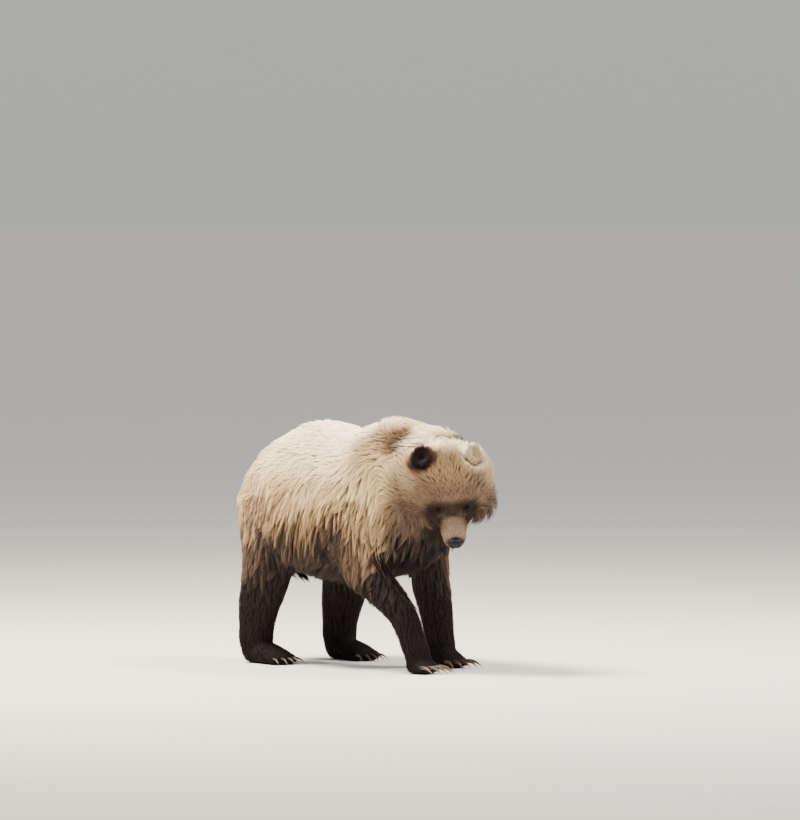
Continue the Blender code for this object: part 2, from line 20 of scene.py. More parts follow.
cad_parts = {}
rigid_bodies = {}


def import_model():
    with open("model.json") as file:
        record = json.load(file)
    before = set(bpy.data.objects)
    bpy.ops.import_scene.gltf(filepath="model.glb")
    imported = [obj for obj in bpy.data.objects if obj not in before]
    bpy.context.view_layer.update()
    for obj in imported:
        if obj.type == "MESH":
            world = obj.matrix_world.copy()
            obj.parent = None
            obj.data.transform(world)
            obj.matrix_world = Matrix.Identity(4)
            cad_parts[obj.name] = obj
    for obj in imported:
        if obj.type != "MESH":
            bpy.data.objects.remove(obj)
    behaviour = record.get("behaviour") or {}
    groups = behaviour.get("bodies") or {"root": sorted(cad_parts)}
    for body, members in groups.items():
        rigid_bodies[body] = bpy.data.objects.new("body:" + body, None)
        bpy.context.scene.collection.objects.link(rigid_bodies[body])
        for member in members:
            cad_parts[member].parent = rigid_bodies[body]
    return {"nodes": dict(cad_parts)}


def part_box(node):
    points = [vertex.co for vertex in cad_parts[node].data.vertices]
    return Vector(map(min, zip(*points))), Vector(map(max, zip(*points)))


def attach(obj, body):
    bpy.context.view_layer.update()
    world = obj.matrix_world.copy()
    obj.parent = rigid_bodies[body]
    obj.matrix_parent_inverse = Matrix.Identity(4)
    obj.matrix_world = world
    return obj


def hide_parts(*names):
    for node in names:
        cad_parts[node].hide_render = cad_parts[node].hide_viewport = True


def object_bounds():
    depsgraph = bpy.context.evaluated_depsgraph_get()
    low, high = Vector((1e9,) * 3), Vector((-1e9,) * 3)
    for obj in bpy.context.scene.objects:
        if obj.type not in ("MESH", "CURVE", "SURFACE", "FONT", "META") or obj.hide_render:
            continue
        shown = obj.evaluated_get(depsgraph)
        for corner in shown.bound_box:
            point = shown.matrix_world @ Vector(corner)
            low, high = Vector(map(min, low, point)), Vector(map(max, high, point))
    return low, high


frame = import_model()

for start in ("Cube", "Light", "Camera"):  # what a new Blender file holds
    if start in bpy.data.objects:
        bpy.data.objects.remove(bpy.data.objects[start])
CAD_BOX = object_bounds()
MM = 0.001
print("solids:", len(frame["nodes"]), "corners:", [[round(c, 3) for c in corner] for corner in CAD_BOX])

# %% [markdown]
# ## The camera and the studio
# A wild bear is watched from far off through a long lens, which flattens depth. So the camera stands 30 m
# away, a little above the bear's back, and sees it three-quarters from the front. It aims just over the
# shoulder hump, which leaves the room round the animal that a long shot has.

# %% The camera
CAMERA_TURN = math.radians(50)
CAMERA_RISE = math.radians(2)
CAMERA_DISTANCE = 30.0
VIEW_WIDTH = 3.28  # what the view's longer side takes in, at the bear
SENSOR = 36.0
AIM_BEHIND_NECK = 0.119  # the view's middle lies this far behind the lowest x of the neck
AIM_ABOVE_BACK = 0.031


def shown(name, data):
    """A new object, linked to the scene."""
    made = bpy.data.objects.new(name, data)
    bpy.context.scene.collection.objects.link(made)
    return made


def away_from(turn, rise):
    """The direction from the bear to something at that turn and rise."""
    return Vector((math.sin(turn) * math.cos(rise), -math.cos(turn) * math.cos(rise), math.sin(rise)))


def add_camera():
    """The long lens, aimed over the shoulders."""
    data = bpy.data.cameras.new("camera")
    data.sensor_width = SENSOR
    data.lens = SENSOR * CAMERA_DISTANCE / VIEW_WIDTH
    data.clip_end = 200.0
    made = shown("camera", data)
    aim = Vector((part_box("neck")[0].x - AIM_BEHIND_NECK, 0.0, CAD_BOX[1].z + AIM_ABOVE_BACK))
    away = away_from(CAMERA_TURN, CAMERA_RISE)
    made.location = aim + away * CAMERA_DISTANCE
    made.rotation_euler = away.to_track_quat("Z", "Y").to_euler()
    bpy.context.scene.camera = made
    return made


camera = add_camera()
print("lens", round(camera.data.lens, 1), "mm, camera at", [round(c, 2) for c in camera.location])

# %% [markdown]
# ## Colours and materials
# Colours are written as the hex codes of a paint chart and turned once into the linear values that Blender
# reckons with. Each real material is one Blender material. The helper below adds a shader node and sets its
# sockets by name, which keeps the trees short to read.

# %% Colour and node helpers


def linear(code):
    """A hex colour as three linear values."""
    parts = [int(code[i : i + 2], 16) / 255 for i in (1, 3, 5)]
    return np.array([c / 12.92 if c <= 0.04045 else ((c + 0.055) / 1.055) ** 2.4 for c in parts])


def add_node(tree, kind, links=None, **values):
    """Adds a node; values set its sockets or settings, and links join its inputs to other nodes' outputs."""
    node = tree.nodes.new(kind)
    for key, value in values.items():
        name = key.replace("_", " ")
        if name in node.inputs:
            node.inputs[name].default_value = value
        else:
            setattr(node, key, value)
    for socket, source in (links or {}).items():
        tree.links.new(source, node.inputs[socket])
    return node


def new_material(name, **values):
    """A principled material and its tree; values are the shader's own sockets."""
    made = bpy.data.materials.new(name)
    made.use_nodes = True
    shader = made.node_tree.nodes["Principled BSDF"]
    for key, value in values.items():
        shader.inputs[key.replace("_", " ")].default_value = value
    return made, made.node_tree, shader


print("a mid grey of #808080 is", linear("#808080").round(3), "in linear values")

# %% [markdown]
# ## Floor and light
# The studio is plain: one pale matt floor, a pale room, and three soft lamps. The main lamp stands high over
# the near side, as a noon sun would, so the top of the coat is bright and the belly dark; the second fills
# the face, and the third draws a bright rim along the far side of the head.

# %% Floor, room and lamps
FLOOR_SIZE = 400.0
HORIZON = "#d9d8d5"  # as bright as the floor is where it meets the room's wall
ZENITH = "#f2f2f0"
LAMP_AIM = 0.6  # every lamp faces the middle of the body, this far above the floor


def add_floor():
    """One pale sheet under the bear, which isn't a part of it."""
    mesh = bpy.data.meshes.new("floor")
    half = FLOOR_SIZE / 2
    corners = [(-half, -half, 0), (half, -half, 0), (half, half, 0), (-half, half, 0)]
    mesh.from_pydata(corners, [], [(0, 1, 2, 3)])
    made = shown("floor", mesh)
    # Matt studio paper, a warm light grey.
    paper, _, _ = new_material("studio_paper", Base_Color=(*linear("#e9e7e2"), 1), Roughness=0.9)
    mesh.materials.append(paper)
    return made


def add_room(strength):
    """The pale light from all round, a little brighter overhead."""
    world = bpy.data.worlds.new("room")
    world.use_nodes = True
    background = world.node_tree.nodes["Background"]
    background.inputs["Strength"].default_value = strength
    place = add_node(world.node_tree, "ShaderNodeTexCoord")
    split = add_node(world.node_tree, "ShaderNodeSeparateXYZ", {"Vector": place.outputs["Generated"]})
    blend = add_node(world.node_tree, "ShaderNodeValToRGB", {"Fac": split.outputs["Z"]})
    blend.color_ramp.elements[0].color = (*linear(HORIZON), 1)
    blend.color_ramp.elements[1].color = (*linear(ZENITH), 1)
    blend.color_ramp.elements[1].position = 0.5
    world.node_tree.links.new(blend.outputs["Color"], background.inputs["Color"])
    bpy.context.scene.world = world


def add_lamp(name, turn, rise, distance, size, power, colour):
    """A square soft lamp at that turn and rise, facing the bear."""
    data = bpy.data.lights.new(name, "AREA")
    data.size = size
    data.energy = power
    data.color = linear(colour)
    made = shown(name, data)
    away = away_from(math.radians(turn), math.radians(rise))
    made.location = away * distance + Vector((0, 0, LAMP_AIM))
    made.rotation_euler = away.to_track_quat("Z", "Y").to_euler()


add_floor()
add_room(0.75)
add_lamp("sun_lamp", -35, 64, 6.0, 2.0, 1500.0, "#fff0da")
add_lamp("fill_lamp", 85, 35, 7.0, 4.0, 120.0, "#f1f5ff")
add_lamp("rim_lamp", 150, 55, 6.0, 1.5, 500.0, "#fff4e2")
print("studio: floor, room and three lamps")

# %% [markdown]
# ## Small tools for meshes
# The skin and the coat are large meshes, so they are worked on as whole tables of points rather than point
# by point. These helpers turn tables into meshes, soften a step into a slope, and give a gentle irregular
# field that runs smoothly through space, used wherever real fur isn't quite regular.

# %% Table helpers


def points_of(mesh):
    """The mesh's points as one table, a row for each."""
    table = np.empty(len(mesh.vertices) * 3)
    mesh.vertices.foreach_get("co", table)
    return table.reshape(-1, 3)


def normals_of(mesh):
    """The way that the surface faces at each point."""
    table = np.empty(len(mesh.vertices) * 3)
    mesh.vertex_normals.foreach_get("vector", table)
    return table.reshape(-1, 3)


def edges_of(mesh):
    """The numbers of the two points of each edge."""
    table = np.empty(len(mesh.edges) * 2, dtype=np.int32)
    mesh.edges.foreach_get("vertices", table)
    return table.reshape(-1, 2)


def unit(rows):
    """Each row's direction, with a length of one."""
    return rows / np.maximum(np.linalg.norm(rows, axis=-1, keepdims=True), 1e-9)


def ramp(values, low, high):
    """0 at low, 1 at high, and a smooth slope between them."""
    t = np.clip((values - low) / (high - low), 0, 1)
    return t * t * (3 - 2 * t)


def drift(points, size, seed):
    """A smooth irregular value between about -1 and 1 at each point; size is the width of its waves."""
    rng = np.random.default_rng(seed)
    total = np.zeros(len(points))
    for _ in range(6):
        wave = unit(rng.normal(size=3)) * (2 * math.pi / size) * rng.uniform(0.6, 1.4)
        total += np.sin(points @ wave + rng.uniform(0, 2 * math.pi))
    return total / 2.6


def spread_over(edges, count, values, rounds, amount=0.5):
    """Evens values out between neighbours, round by round."""
    a, b = edges.T
    reach = np.maximum(np.bincount(a, minlength=count) + np.bincount(b, minlength=count), 1)
    table = values.reshape(count, -1).copy()
    for _ in range(rounds):
        for column in table.T:
            total = np.bincount(a, column[b], count) + np.bincount(b, column[a], count)
            column += (total / reach - column) * amount
    return table.reshape(values.shape)


def new_mesh(name, points, faces):
    """A mesh object from a table of points and a list of tables of faces, one table for each face size."""
    mesh = bpy.data.meshes.new(name)
    sizes = np.concatenate([np.full(len(f), f.shape[1]) for f in faces])
    corners = np.concatenate([f.reshape(-1) for f in faces]).astype(np.int32)
    mesh.vertices.add(len(points))
    mesh.vertices.foreach_set("co", points.astype(np.float32).reshape(-1))
    mesh.loops.add(len(corners))
    mesh.loops.foreach_set("vertex_index", corners)
    mesh.polygons.add(len(sizes))
    starts = np.concatenate([[0], np.cumsum(sizes)[:-1]]).astype(np.int32)
    mesh.polygons.foreach_set("loop_start", starts)
    mesh.update(calc_edges=True)
    mesh.validate()
    return shown(name, mesh)


def paint(mesh, name, colours):
    """Stores one colour for each point of the mesh."""
    layer = mesh.attributes.new(name, "FLOAT_COLOR", "POINT")
    table = np.ones((len(colours), 4), dtype=np.float32)
    table[:, :3] = colours
    layer.data.foreach_set("color", table.reshape(-1))


print("a ramp from 0 to 1 at the quarters:", ramp(np.linspace(0, 1, 5), 0, 1).round(2))

# %% [markdown]
# ## The head's own axes
# The head is turned to the bear's right, tipped down over the forepaw and rolled a little. Everything on the
# face is easier to place on axes that go with it: +X ahead to the nose tip, +Y to the bear's left, +Z up
# from the forehead. The nose of the solids fixes where these axes sit, and the solids' eyes are read off
# directly.

# %% Axes of the head, and the eyes
HEAD_YAW = math.radians(-31)
HEAD_PITCH = math.radians(59)
HEAD_ROLL = math.radians(9)
NOSE_PLACE = Vector((-0.012, 0.0, 0.006))


def middle(node):
    """The middle of a solid's box."""
    low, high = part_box(node)
    return (low + high) / 2


HEAD_TURN = Matrix.Rotation(HEAD_YAW, 4, "Z") @ Matrix.Rotation(HEAD_PITCH, 4, "Y")
HEAD_TURN = HEAD_TURN @ Matrix.Rotation(HEAD_ROLL, 4, "X")
HEAD = Matrix.Translation(middle("nose")) @ HEAD_TURN @ Matrix.Translation(-NOSE_PLACE)
HEAD_INVERSE = np.array(HEAD.inverted())
EYE_RADIUS = (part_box("eye_left")[1].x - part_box("eye_left")[0].x) / 2
EYES = {side: middle("eye_" + side) for side in ("left", "right")}


def on_head(points):
    """Points on the head's own axes."""
    return points @ HEAD_INVERSE[:3, :3].T + HEAD_INVERSE[:3, 3]


def head_direction(x, y, z):
    """A direction given on the head's axes, in the solids' frame."""
    return (HEAD_TURN.to_3x3() @ Vector((x, y, z))).normalized()


def on_one_side(points):
    """Points with the right side's moved over to the left, for what is the same on both sides."""
    return points * (1, 0, 1) + np.abs(points) * (0, 1, 0)


def how_far(points, centre, radii):
    """Distance of each point from the middle of an ellipsoid, which is 1 on its surface."""
    return np.linalg.norm((points - np.array(centre)) / np.array(radii), axis=1)


for side, eye in EYES.items():
    print(side, "eye on the head's axes:", [round(c, 3) for c in HEAD.inverted() @ eye])

# %% [markdown]
# ## The ears' own axes
# A bear's ear is a small round cup on the corner of the skull, turned forwards and a little outwards. Its
# mould and its markings are both easier to give on axes of its own, which start in the middle of the cup.

# %% Axes of the ears
EAR_PLACE = (-0.318, 0.103, 0.164)  # the middle of a cup; the right ear's is on the other side
EAR_TURN = math.radians(36)
EAR_LEAN = math.radians(14)
EAR_TIP_BACK = math.radians(12)


def ear_axes(side):
    """An ear's own axes: +X out of its cup, +Z from its root to its tip."""
    sign = 1 if side == "left" else -1
    turn = Matrix.Rotation(HEAD_YAW + EAR_TURN * sign, 4, "Z") @ Matrix.Rotation(-EAR_LEAN * sign, 4, "X")
    place = HEAD @ Vector((EAR_PLACE[0], EAR_PLACE[1] * sign, EAR_PLACE[2]))
    return Matrix.Translation(place) @ turn @ Matrix.Rotation(-EAR_TIP_BACK, 4, "Y")


def on_ear(points, side):
    """Points on an ear's own axes."""
    inverse = np.array(EARS[side].inverted())
    return points @ inverse[:3, :3].T + inverse[:3, 3]


EARS = {side: ear_axes(side) for side in ("left", "right")}
print("ears at", {side: [round(c, 3) for c in axes.translation] for side, axes in EARS.items()})

# %% [markdown]
# ## One body from the solids
# The solids are cut apart where the parts of the body meet. The living surface has no cuts, so copies of
# them are swollen by half a millimetre, which closes the cuts, joined, and remade as one even net of small
# squares. The net is then eased, since the solids are faceted and a body is round.

# %% The joined body
FLESH = [
    "trunk", "neck", "head", "muzzle", "lower_jaw", "ear_left", "ear_right", "tail",
    "foreleg_left", "foreleg_right", "forepaw_left", "forepaw_right",
    "hindleg_left", "hindleg_right", "hindpaw_left", "hindpaw_right",
]
NET = 10 * MM
OVERLAP = 0.5 * MM


def joined_solids(grow):
    """One mesh of all the flesh solids, and the solid that each of its triangles comes from."""
    together = bmesh.new()
    owners = []
    for number, name in enumerate(FLESH):
        part = bmesh.new()
        part.from_mesh(frame["nodes"][name].data)
        bmesh.ops.remove_doubles(part, verts=part.verts, dist=1e-6)
        part.normal_update()
        for vertex in part.verts:
            vertex.co += vertex.normal * grow
        held = bpy.data.meshes.new("held")
        part.to_mesh(held)
        part.free()
        together.from_mesh(held)
        owners += [number] * len(held.polygons)
        bpy.data.meshes.remove(held)
    mesh = bpy.data.meshes.new("joined")
    together.to_mesh(mesh)
    together.free()
    return mesh, np.array(owners)


def remade(mesh, size):
    """The outer surface of a mesh as one even net."""
    carrier = shown("carrier", mesh)
    change = carrier.modifiers.new("net", "REMESH")
    change.mode = "VOXEL"
    change.voxel_size = size
    graph = bpy.context.evaluated_depsgraph_get()
    made = bpy.data.meshes.new_from_object(carrier.evaluated_get(graph))
    bpy.data.objects.remove(carrier)
    return made


def eased(mesh, rounds, where=None):
    """Rounds the net without shrinking it; where limits it, from 0 for left alone to 1."""
    points, edges = points_of(mesh), edges_of(mesh)
    for _ in range(rounds):
        for amount in (0.6, -0.62):
            moved = spread_over(edges, len(points), points, 1, amount)
            points = moved if where is None else points + (moved - points) * where[:, None]
    mesh.vertices.foreach_set("co", points.reshape(-1))
    mesh.update()


solids_mesh, owners = joined_solids(OVERLAP)
body = remade(solids_mesh, NET)
eased(body, 6)
print("net of the body:", len(body.vertices), "points")

# %% [markdown]
# ## A finer net on the head
# A bear's trunk is all broad curves, but its face has lids, nostrils and a mouth. So the net is cut finer
# where the detail is: once over the whole head and the ears, and once more round the eyes, the nose and the
# mouth.

# %% Refining the net
SKULL, SKULL_REACH = (-0.22, 0.0, 0.03), 0.31
SNOUT, SNOUT_REACH = (-0.065, 0.0, -0.015), 0.088
EYE_DETAIL = 0.040


def refined(mesh, chosen):
    """Cuts every edge whose two ends are chosen in half."""
    work = bmesh.new()
    work.from_mesh(mesh)
    wanted = [e for e in work.edges if chosen[e.verts[0].index] and chosen[e.verts[1].index]]
    bmesh.ops.subdivide_edges(work, edges=wanted, cuts=1, use_grid_fill=True)
    bmesh.ops.triangulate(work, faces=[f for f in work.faces if len(f.verts) > 4])
    work.to_mesh(mesh)
    work.free()
    mesh.update()


def eye_distance(points):
    """Distance of each point from the nearer eye."""
    return np.minimum(*(np.linalg.norm(points - np.array(eye), axis=1) for eye in EYES.values()))


def head_distance(points, centre):
    """Distance of each point from a place given on the head's axes."""
    return np.linalg.norm(on_head(points) - np.array(centre), axis=1)


refined(body, head_distance(points_of(body), SKULL) < SKULL_REACH)
points = points_of(body)
refined(body, (head_distance(points, SNOUT) < SNOUT_REACH) | (eye_distance(points) < EYE_DETAIL))
eased(body, 4, ramp(head_distance(points_of(body), SKULL), SKULL_REACH, SKULL_REACH - 0.04))
print("net with a finer head:", len(body.vertices), "points,", len(body.polygons), "faces")

# %% [markdown]
# ## Filling the nape
# Where the head meets the neck, the solids leave a hollow that a real bear's mane bridges. The net is let
# rise there wherever it dips between its neighbours; the ears are left as they are, or they would drown.

# %% Filling the hollow behind the ears
NAPE, NAPE_RADII = (-0.41, 0.0, 0.05), (0.13, 0.32, 0.26)


def filled(mesh, where, rounds):
    """Lets the net rise where it dips between its neighbours, as thick fur bridges a hollow."""
    points, edges = points_of(mesh), edges_of(mesh)
    for _ in range(rounds):
        rise = spread_over(edges, len(points), points, 1, 0.8) - points
        out = normals_of(mesh)
        lift = np.clip((rise * out).sum(axis=1), 0, None) * where
        points += out * lift[:, None]
        mesh.vertices.foreach_set("co", points.reshape(-1))
        mesh.update()


place = on_head(points_of(body))
off_ears = np.linalg.norm(on_one_side(place) - np.array(EAR_PLACE), axis=1)
before = points_of(body)
filled(body, ramp(how_far(place, NAPE, NAPE_RADII), 1.1, 0.8) * ramp(off_ears, 0.06, 0.09), 60)
print("the nape rises by up to", round(np.linalg.norm(points_of(body) - before, axis=1).max() / MM), "mm")

# %% [markdown]
# ## Which solid is where
# Each point of the net learns which solid it lies on, which is how the rest of the script knows its way
# about the body. The answer is evened out, so that one part of the body runs over into the next. Each eye
# learns here which way it looks: away from the skin round it, and a little ahead and up.

# %% Which solid each point lies on
tree = BVHTree.FromPolygons(
    [v.co for v in solids_mesh.vertices], [tuple(p.vertices) for p in solids_mesh.polygons]
)
EYE_SOCKET = 0.022
SKIN_EDGES = edges_of(body)
COUNT = len(body.vertices)
nearest = np.array([owners[tree.find_nearest(v.co)[2]] for v in body.vertices])
P = points_of(body)
N = normals_of(body)
H = on_head(P)
OUTWARD = {}
for side, eye in EYES.items():
    close = np.linalg.norm(P - np.array(eye), axis=1) < EYE_SOCKET
    sideways = HEAD_TURN.to_3x3() @ Vector((0.45, 0.80 if side == "left" else -0.80, 0.40))
    OUTWARD[side] = (Vector(N[close].mean(axis=0)).normalized() + sideways * 0.4).normalized()
    print(side, "eye looks out along", [round(c, 2) for c in HEAD_TURN.to_3x3().inverted() @ OUTWARD[side]])
on_solid = np.zeros((COUNT, len(FLESH)))
on_solid[np.arange(COUNT), nearest] = 1.0
on_solid = spread_over(SKIN_EDGES, COUNT, on_solid, 14)
PART = {name: on_solid[:, number] for number, name in enumerate(FLESH)}


def either(name):
    """Share of the left and the right one of a pair of solids."""
    return PART[name + "_left"] + PART[name + "_right"]


print("points on the trunk:", int((PART["trunk"] > 0.5).sum()))

# %% [markdown]
# ## Zones of the coat
# A bear's coat changes over the body: plush on the brow, shaggy on the flanks, short on the shins, almost
# bare round the eyes. Each zone below says how deep the coat lies over the skin, and how long, wide and far
# apart its tufts are, in millimetres, and how steeply they leave the skin, in degrees. A tuft stands for a
# pinch of hairs.

# %% The zones' hair
ZONES = {  # depth, length, width, spacing, lift
    "back": (19, 50, 3.5, 6.4, 34),
    "hump": (22, 62, 3.7, 6.0, 40),
    "flank": (22, 88, 3.2, 5.5, 23),
    "fringe": (24, 115, 3.6, 5.7, 20),
    "belly": (18, 62, 4.6, 8.0, 28),
    "rump": (22, 76, 3.3, 5.8, 27),
    "pants": (20, 120, 4.2, 6.6, 22),
    "neck": (16, 54, 3.3, 5.0, 38),
    "ruff": (22, 60, 3.2, 4.8, 38),
    "crown": (14, 38, 2.3, 3.5, 48),
    "forehead": (9, 24, 1.8, 2.8, 34),
    "cheek": (18, 44, 2.4, 3.7, 40),
    "jowl": (18, 74, 2.6, 3.8, 44),
    "orbit": (2.2, 7, 1.1, 2.1, 24),
    "muzzle": (4, 10, 1.2, 2.1, 24),
    "chin": (5, 16, 1.5, 2.8, 30),
    "ear": (4, 18, 1.7, 2.7, 42),
    "limb": (15, 46, 3.7, 6.9, 17),
    "shin": (9, 27, 3.2, 5.8, 18),
    "paw": (4, 14, 2.4, 4.2, 26),
    "sole": (0.4, 4, 2.0, 9.0, 20),
    "tail": (20, 52, 3.6, 5.2, 38),
}
print("zones:", len(ZONES), "with tufts up to", max(values[1] for values in ZONES.values()), "mm long")

# %% [markdown]
# ## Where each zone lies
# A zone is a share between 0 and 1 at each point, worked out from the solid that the point lies on, its
# height, its place along the body or the head, and whether the surface faces up or down. Soft ramps make the
# shares, so that one zone runs over into the next. The rings round the eyes and the soles come last, since
# they take their points away from all the others.

# %% Shares of the zones
zone = {name: np.zeros(COUNT) for name in ZONES}
upward, height = N[:, 2], P[:, 2]
trunk = PART["trunk"]
top = ramp(upward, 0.15, 0.65)
under = ramp(-upward, 0.15, 0.75)
hump = ramp(P[:, 0], 0.02, 0.16) * ramp(P[:, 0], 0.42, 0.32)
rump = ramp(P[:, 0], -0.40, -0.56)
low = ramp(height, 0.64, 0.48)
zone["hump"] = trunk * top * hump
zone["back"] = trunk * top * (1 - hump)
behind = ramp(P[:, 0], -0.36, -0.48)
zone["belly"] = trunk * under * (1 - behind)
zone["pants"] = trunk * under * behind
side = trunk * (1 - top) * (1 - under)
zone["rump"] = side * rump
zone["fringe"] = side * (1 - rump) * low
zone["flank"] = side * (1 - rump) * (1 - low)
zone["neck"] = PART["neck"] * (1 - under)
zone["ruff"] = PART["neck"] * under
skull = PART["head"]
ahead = ramp(H[:, 0], -0.25, -0.16)
face_top = ramp(H[:, 2], 0.0, 0.05)
zone["forehead"] = skull * ahead
zone["crown"] = skull * (1 - ahead) * face_top
zone["cheek"] = skull * (1 - ahead) * (1 - face_top)
jowl = ramp(np.abs(H[:, 1]), 0.075, 0.105) * ramp(H[:, 2], 0.015, -0.030) * ramp(H[:, 0], -0.26, -0.21)
for name in ("forehead", "cheek"):
    zone[name] = zone[name] * (1 - jowl)
zone["jowl"] = skull * jowl
zone["muzzle"] = PART["muzzle"]
zone["chin"] = PART["lower_jaw"]
zone["ear"] = either("ear")
zone["tail"] = PART["tail"]
legs = either("foreleg") + either("hindleg")
lower = ramp(height, 0.36, 0.22)
zone["limb"] = legs * (1 - lower)
zone["shin"] = legs * lower
feet = either("forepaw") + either("hindpaw")
sole = ramp(height, 0.010, 0.003) * ramp(-upward, 0.5, 0.8)
zone["paw"] = feet
orbit = ramp(eye_distance(P), EYE_DETAIL, 0.019)
for name in ZONES:
    zone[name] = zone[name] * (1 - orbit) * (1 - sole)
zone["orbit"] = orbit * (1 - sole)
zone["sole"] = sole
print("points with sparse hair, round the eyes:", int((zone["orbit"] > 0.5).sum()))

# %% [markdown]
# ## The hair at each point
# Each point's hair is the mean of its zones' hair by their shares, so its sizes change smoothly over the
# body. One more value says how shaggy the coat is there, which is how much it hangs in locks.

# %% The hair's sizes over the skin
SHAGGY = {"fringe": 1, "belly": 1, "pants": 1, "jowl": 0.7, "ruff": 0.6, "cheek": 0.5, "tail": 0.6}
shares = np.stack([zone[name] for name in ZONES], axis=1)
shares /= shares.sum(axis=1, keepdims=True)
depth, length, width, spacing, lift = (shares @ np.array(list(ZONES.values()), dtype=float)).T
depth, length, width, spacing = (part * MM for part in (depth, length, width, spacing))
lift = np.radians(lift)
shag = (zone["flank"] + zone["rump"] + zone["limb"]) * ramp(height, 0.86, 0.62)
for name, most in SHAGGY.items():
    shag = shag + most * zone[name]
shag = np.clip(shag, 0, 1)
print("coat from", round(depth.min() / MM, 1), "to", round(depth.max() / MM, 1), "mm deep")

# %% [markdown]
# ## Down to the skin
# The solids end about where the fur does. The skin is the same net sunk along its normals by the coat's
# depth. The depth is evened out first, so that the skin runs smoothly from a deep zone to a shallow one.

# %% Sinking the skin
SOLE_HEIGHT = 0.2 * MM
depth = spread_over(SKIN_EDGES, COUNT, depth, 6)
S = P - N * depth[:, None]
S = spread_over(SKIN_EDGES, COUNT, S, 2, 0.4)
S[:, 2] = np.maximum(S[:, 2], SOLE_HEIGHT)
print("skin sunk; its lowest point is at", round(S[:, 2].min() / MM, 2), "mm")

# %% [markdown]
# ## Forms of the face
# A voxel net leaves the mouth and the ears as plain swellings, so they are worked into the skin here. The
# lips meet in a groove that droops towards its corner, with a slight roll of skin on each side of it.

# %% The mouth
LIP_LINE = -0.046
LIP_BACK = -0.132
LIP_ROLL = 5.5 * MM  # how far the top of each roll is from the groove
LIP_SOFT = 2.6 * MM


def lip_height(x):
    """Height of the mouth on the head's axes; the upper lip hangs over the lower one in its middle."""
    return LIP_LINE - 0.007 * np.sin(np.pi * np.clip(-x / 0.12, 0, 1))


S_HEAD = on_head(S)
off_lips = S_HEAD[:, 2] - lip_height(S_HEAD[:, 0])
mouth = ramp(S_HEAD[:, 0], LIP_BACK, LIP_BACK + 0.035) * (PART["muzzle"] + PART["lower_jaw"] + PART["head"])
groove = np.exp(-((off_lips / LIP_SOFT) ** 2)) * mouth
lips = np.exp(-(((np.abs(off_lips) - LIP_ROLL) / LIP_SOFT) ** 2)) * mouth
S += N * (lips * 1.6 * MM - groove * 5.5 * MM)[:, None]
print("the mouth's groove runs over", int((groove > 0.5).sum()), "points")

# %% [markdown]
# ## The ears
# Each ear is a cup, open to the front. The hollow is pushed into the skin along the ear's own axis and ends
# softly at its rim. The left ear is laid back a little, as a feeding bear's often is, so its tip stands
# lower.

# %% Hollowing the ears
EAR_CUP = 13 * MM
LEFT_EAR_LOWER = 12 * MM
raised = ramp(on_ear(S, "left")[:, 2], -0.03, 0.055) * ramp(PART["ear_left"], 0.0, 0.4)
S -= np.array(EARS["left"])[:3, 2] * (raised * LEFT_EAR_LOWER)[:, None]
cupped = np.zeros(COUNT)
for side in EARS:
    facing = np.array(EARS[side])[:3, 0]
    local = on_ear(S, side)
    round_the_cup = np.hypot(local[:, 1] / 0.044, (local[:, 2] - 0.002) / 0.046)
    cup = ramp(round_the_cup, 1.0, 0.1) * ramp(N @ facing, 0.1, 0.5) * ramp(PART["ear_" + side], 0.2, 0.6)
    S -= facing * (cup * EAR_CUP)[:, None]
    cupped += cup
print("ear cups cover", int((cupped > 0.5).sum()), "points")

# %% [markdown]
# ## The bear's markings
# This animal is blond above and dark below, and its colours also hold painted light: painted sunlight makes
# the top paler and painted shade the underside darker. The back is cream, the flanks are tan, the belly and
# legs are nearly black brown. A brown patch lies over the hump, and the face has a tan forehead and muzzle.
# The dark band through the eyes is painted shade under the brow; the face's brown, its dark cheeks and muzzle
# sides and the black throat and chest are dark fur with painted shade of the lowered head laid over it, and
# the pale left ear is painted sunlight. All of it is one function of place: a gradient with height, then named
# soft marks, each an ellipsoid with a colour. The skin and the coat both ask this function, so they always
# agree. The marks are the same on both sides of the body, so they are asked with the distance from its middle.

